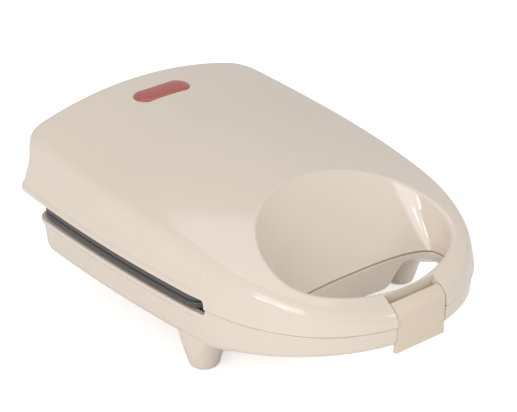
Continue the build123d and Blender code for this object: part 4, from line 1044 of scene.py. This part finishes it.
def make_floor():
    """Pale floor that glows a little to the camera only."""
    corners = np.array(((-1, -1, 0), (1, -1, 0), (1, 1, 0), (-1, 1, 0))) * STAGE_HALF
    floor = make_object("floor", (corners / MM, [[0, 1, 2, 3]]))
    material = bpy.data.materials.new("floor_white")
    material.use_nodes = True
    tree = material.node_tree
    rays = tree.nodes.new("ShaderNodeLightPath")
    glow = maths(tree, "MULTIPLY", rays.outputs["Is Camera Ray"], FLOOR_GLOW)
    for name, value in (("Base Color", (FLOOR_TONE, FLOOR_TONE, FLOOR_TONE, 1)), ("Roughness", 0.7),
                        ("Specular IOR Level", 0.2), ("Emission Color", (1, 1, 1, 1)),
                        ("Emission Strength", glow)):
        feed(tree, tree.nodes["Principled BSDF"].inputs[name], value)
    floor.data.materials.append(material)


def make_stage():
    """Pale floor, backdrop, soft lights and the camera."""
    scene = bpy.context.scene
    make_floor()
    world = bpy.data.worlds.new("studio")
    scene.world = world
    world.use_nodes = True
    tree = world.node_tree
    rays = tree.nodes.new("ShaderNodeLightPath")
    seen = maths(tree, "MAXIMUM", rays.outputs["Is Camera Ray"], rays.outputs["Is Transmission Ray"])
    level = tree.nodes.new("ShaderNodeMapRange")
    for node, name, value in ((level, "Value", seen), (level, "To Min", SKY_LIGHT), (level, "To Max", 1.0),
                              (tree.nodes["Background"], "Color", (1, 1, 1, 1)),
                              (tree.nodes["Background"], "Strength", level.outputs["Result"])):
        feed(tree, node.inputs[name], value)

    for name, place, width, power in LAMPS:
        light = bpy.data.lights.new(name, "AREA")
        light.shape, light.size, light.energy = "SQUARE", width, power
        lamp = bpy.data.objects.new(name, light)
        lamp.location = place
        lamp.visible_camera = False
        lamp.rotation_euler = (LAMP_AIM - Vector(place)).to_track_quat("-Z", "Y").to_euler()
        scene.collection.objects.link(lamp)

    camera = bpy.data.objects.new("camera", bpy.data.cameras.new("camera"))
    camera.location = CAMERA_PLACE
    camera.rotation_euler = (CAMERA_AIM - camera.location).to_track_quat("-Z", "Y").to_euler()
    camera.data.lens, camera.data.sensor_width = 129.03, 36.0
    scene.collection.objects.link(camera)
    scene.camera = camera
    scene.view_settings.view_transform = "Standard"


class PIEMAKER_OT_stage(bpy.types.Operator):
    """Make the floor, the lights and the camera"""

    bl_idname = "pie_maker.stage"
    bl_label = "Stage"

    def execute(self, context):
        make_stage()
        return {"FINISHED"}


class PIEMAKER_OT_lid(bpy.types.Operator):
    """Make the lid housing with the upper half of the handle"""

    bl_idname = "pie_maker.lid"
    bl_label = "Lid Housing"

    def execute(self, context):
        make_lid(context.scene.pie_maker_sizes, housing_finish(context.scene.pie_maker_colours))
        return {"FINISHED"}


class PIEMAKER_OT_base(bpy.types.Operator):
    """Make the base housing with the feet and the lower half of the handle"""

    bl_idname = "pie_maker.base"
    bl_label = "Base Housing"

    def execute(self, context):
        make_base(context.scene.pie_maker_sizes, housing_finish(context.scene.pie_maker_colours))
        return {"FINISHED"}


class PIEMAKER_OT_plates(bpy.types.Operator):
    """Make the two cooking plates"""

    bl_idname = "pie_maker.plates"
    bl_label = "Cooking Plates"

    def execute(self, context):
        colours = context.scene.pie_maker_colours
        coating = finish_of("plate_coating", colours.plate, (0.38, 0.5), 2600.0, 0.12, 0.06)
        make_plate("pie_plate_lower", "lower_plate", "base", coating, LOWER_FACE_Z, False,
                   depth=13.5, flange_height=2.9, rim_height=6.3, crimp=0.8)
        make_plate("pie_plate_upper", "upper_plate", "lid", coating, UPPER_FACE_Z, True,
                   depth=9.0, flange_height=3.8, rim_height=7.0, crimp=-0.9)
        return {"FINISHED"}


class PIEMAKER_OT_latch(bpy.types.Operator):
    """Make the latch"""

    bl_idname = "pie_maker.latch"
    bl_label = "Latch"

    def execute(self, context):
        colours = context.scene.pie_maker_colours
        make_latch(finish_of("latch_cream", colours.latch, (0.45, 0.55), 1600.0, 0.06, 0.015))
        return {"FINISHED"}


class PIEMAKER_OT_indicator(bpy.types.Operator):
    """Make the red indicator window"""

    bl_idname = "pie_maker.indicator"
    bl_label = "Indicator Window"

    def execute(self, context):
        colours = context.scene.pie_maker_colours
        make_lens(finish_of("window_red", colours.lens, (0.08, 0.14), 500.0, 0.01, 0.06, coat=0.5,
                            subsurface=0.3, transmission=0.15))
        return {"FINISHED"}


class PIEMAKER_OT_inner(bpy.types.Operator):
    """Give the inner pieces, screws and pins their finishes"""

    bl_idname = "pie_maker.inner"
    bl_label = "Inner Pieces"

    def execute(self, context):
        for name, nodes, colour, *values in INNER_FINISHES:
            material = finish_of(name, linear(*colour), *values)
            for node in nodes:
                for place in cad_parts[node].material_slots:
                    place.link = "OBJECT"
                    place.material = material
        return {"FINISHED"}


class PIEMAKER_PT_pieces(bpy.types.Panel):
    """Lists the pieces and their sizes and colours"""

    bl_label = "Pie Maker"
    bl_idname = "PIEMAKER_PT_pieces"
    bl_space_type = "VIEW_3D"
    bl_region_type = "UI"
    bl_category = "Pie Maker"

    def draw(self, context):
        for group in (context.scene.pie_maker_sizes, context.scene.pie_maker_colours):
            for name in group.bl_rna.properties.keys():
                if name not in ("rna_type", "name"):
                    self.layout.prop(group, name)
        for operator in OPERATORS:
            self.layout.operator(operator.bl_idname)


OPERATORS = (PIEMAKER_OT_stage, PIEMAKER_OT_lid, PIEMAKER_OT_base, PIEMAKER_OT_plates, PIEMAKER_OT_latch,
             PIEMAKER_OT_indicator, PIEMAKER_OT_inner)
CLASSES = (PieMakerSizes, PieMakerColours, *OPERATORS, PIEMAKER_PT_pieces)


def register():
    """Registers the classes and gives each scene its sizes and colours."""
    for made in CLASSES:
        bpy.utils.register_class(made)
    bpy.types.Scene.pie_maker_sizes = bpy.props.PointerProperty(type=PieMakerSizes)
    bpy.types.Scene.pie_maker_colours = bpy.props.PointerProperty(type=PieMakerColours)


def unregister():
    """Takes the settings and the classes away again."""
    del bpy.types.Scene.pie_maker_colours
    del bpy.types.Scene.pie_maker_sizes
    for made in reversed(CLASSES):
        bpy.utils.unregister_class(made)


def main():
    """Registers the add-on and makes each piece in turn."""
    register()
    bpy.ops.pie_maker.stage()
    bpy.ops.pie_maker.lid()
    bpy.ops.pie_maker.base()
    bpy.ops.pie_maker.plates()
    bpy.ops.pie_maker.latch()
    bpy.ops.pie_maker.indicator()
    bpy.ops.pie_maker.inner()


if __name__ == "__main__":
    main()
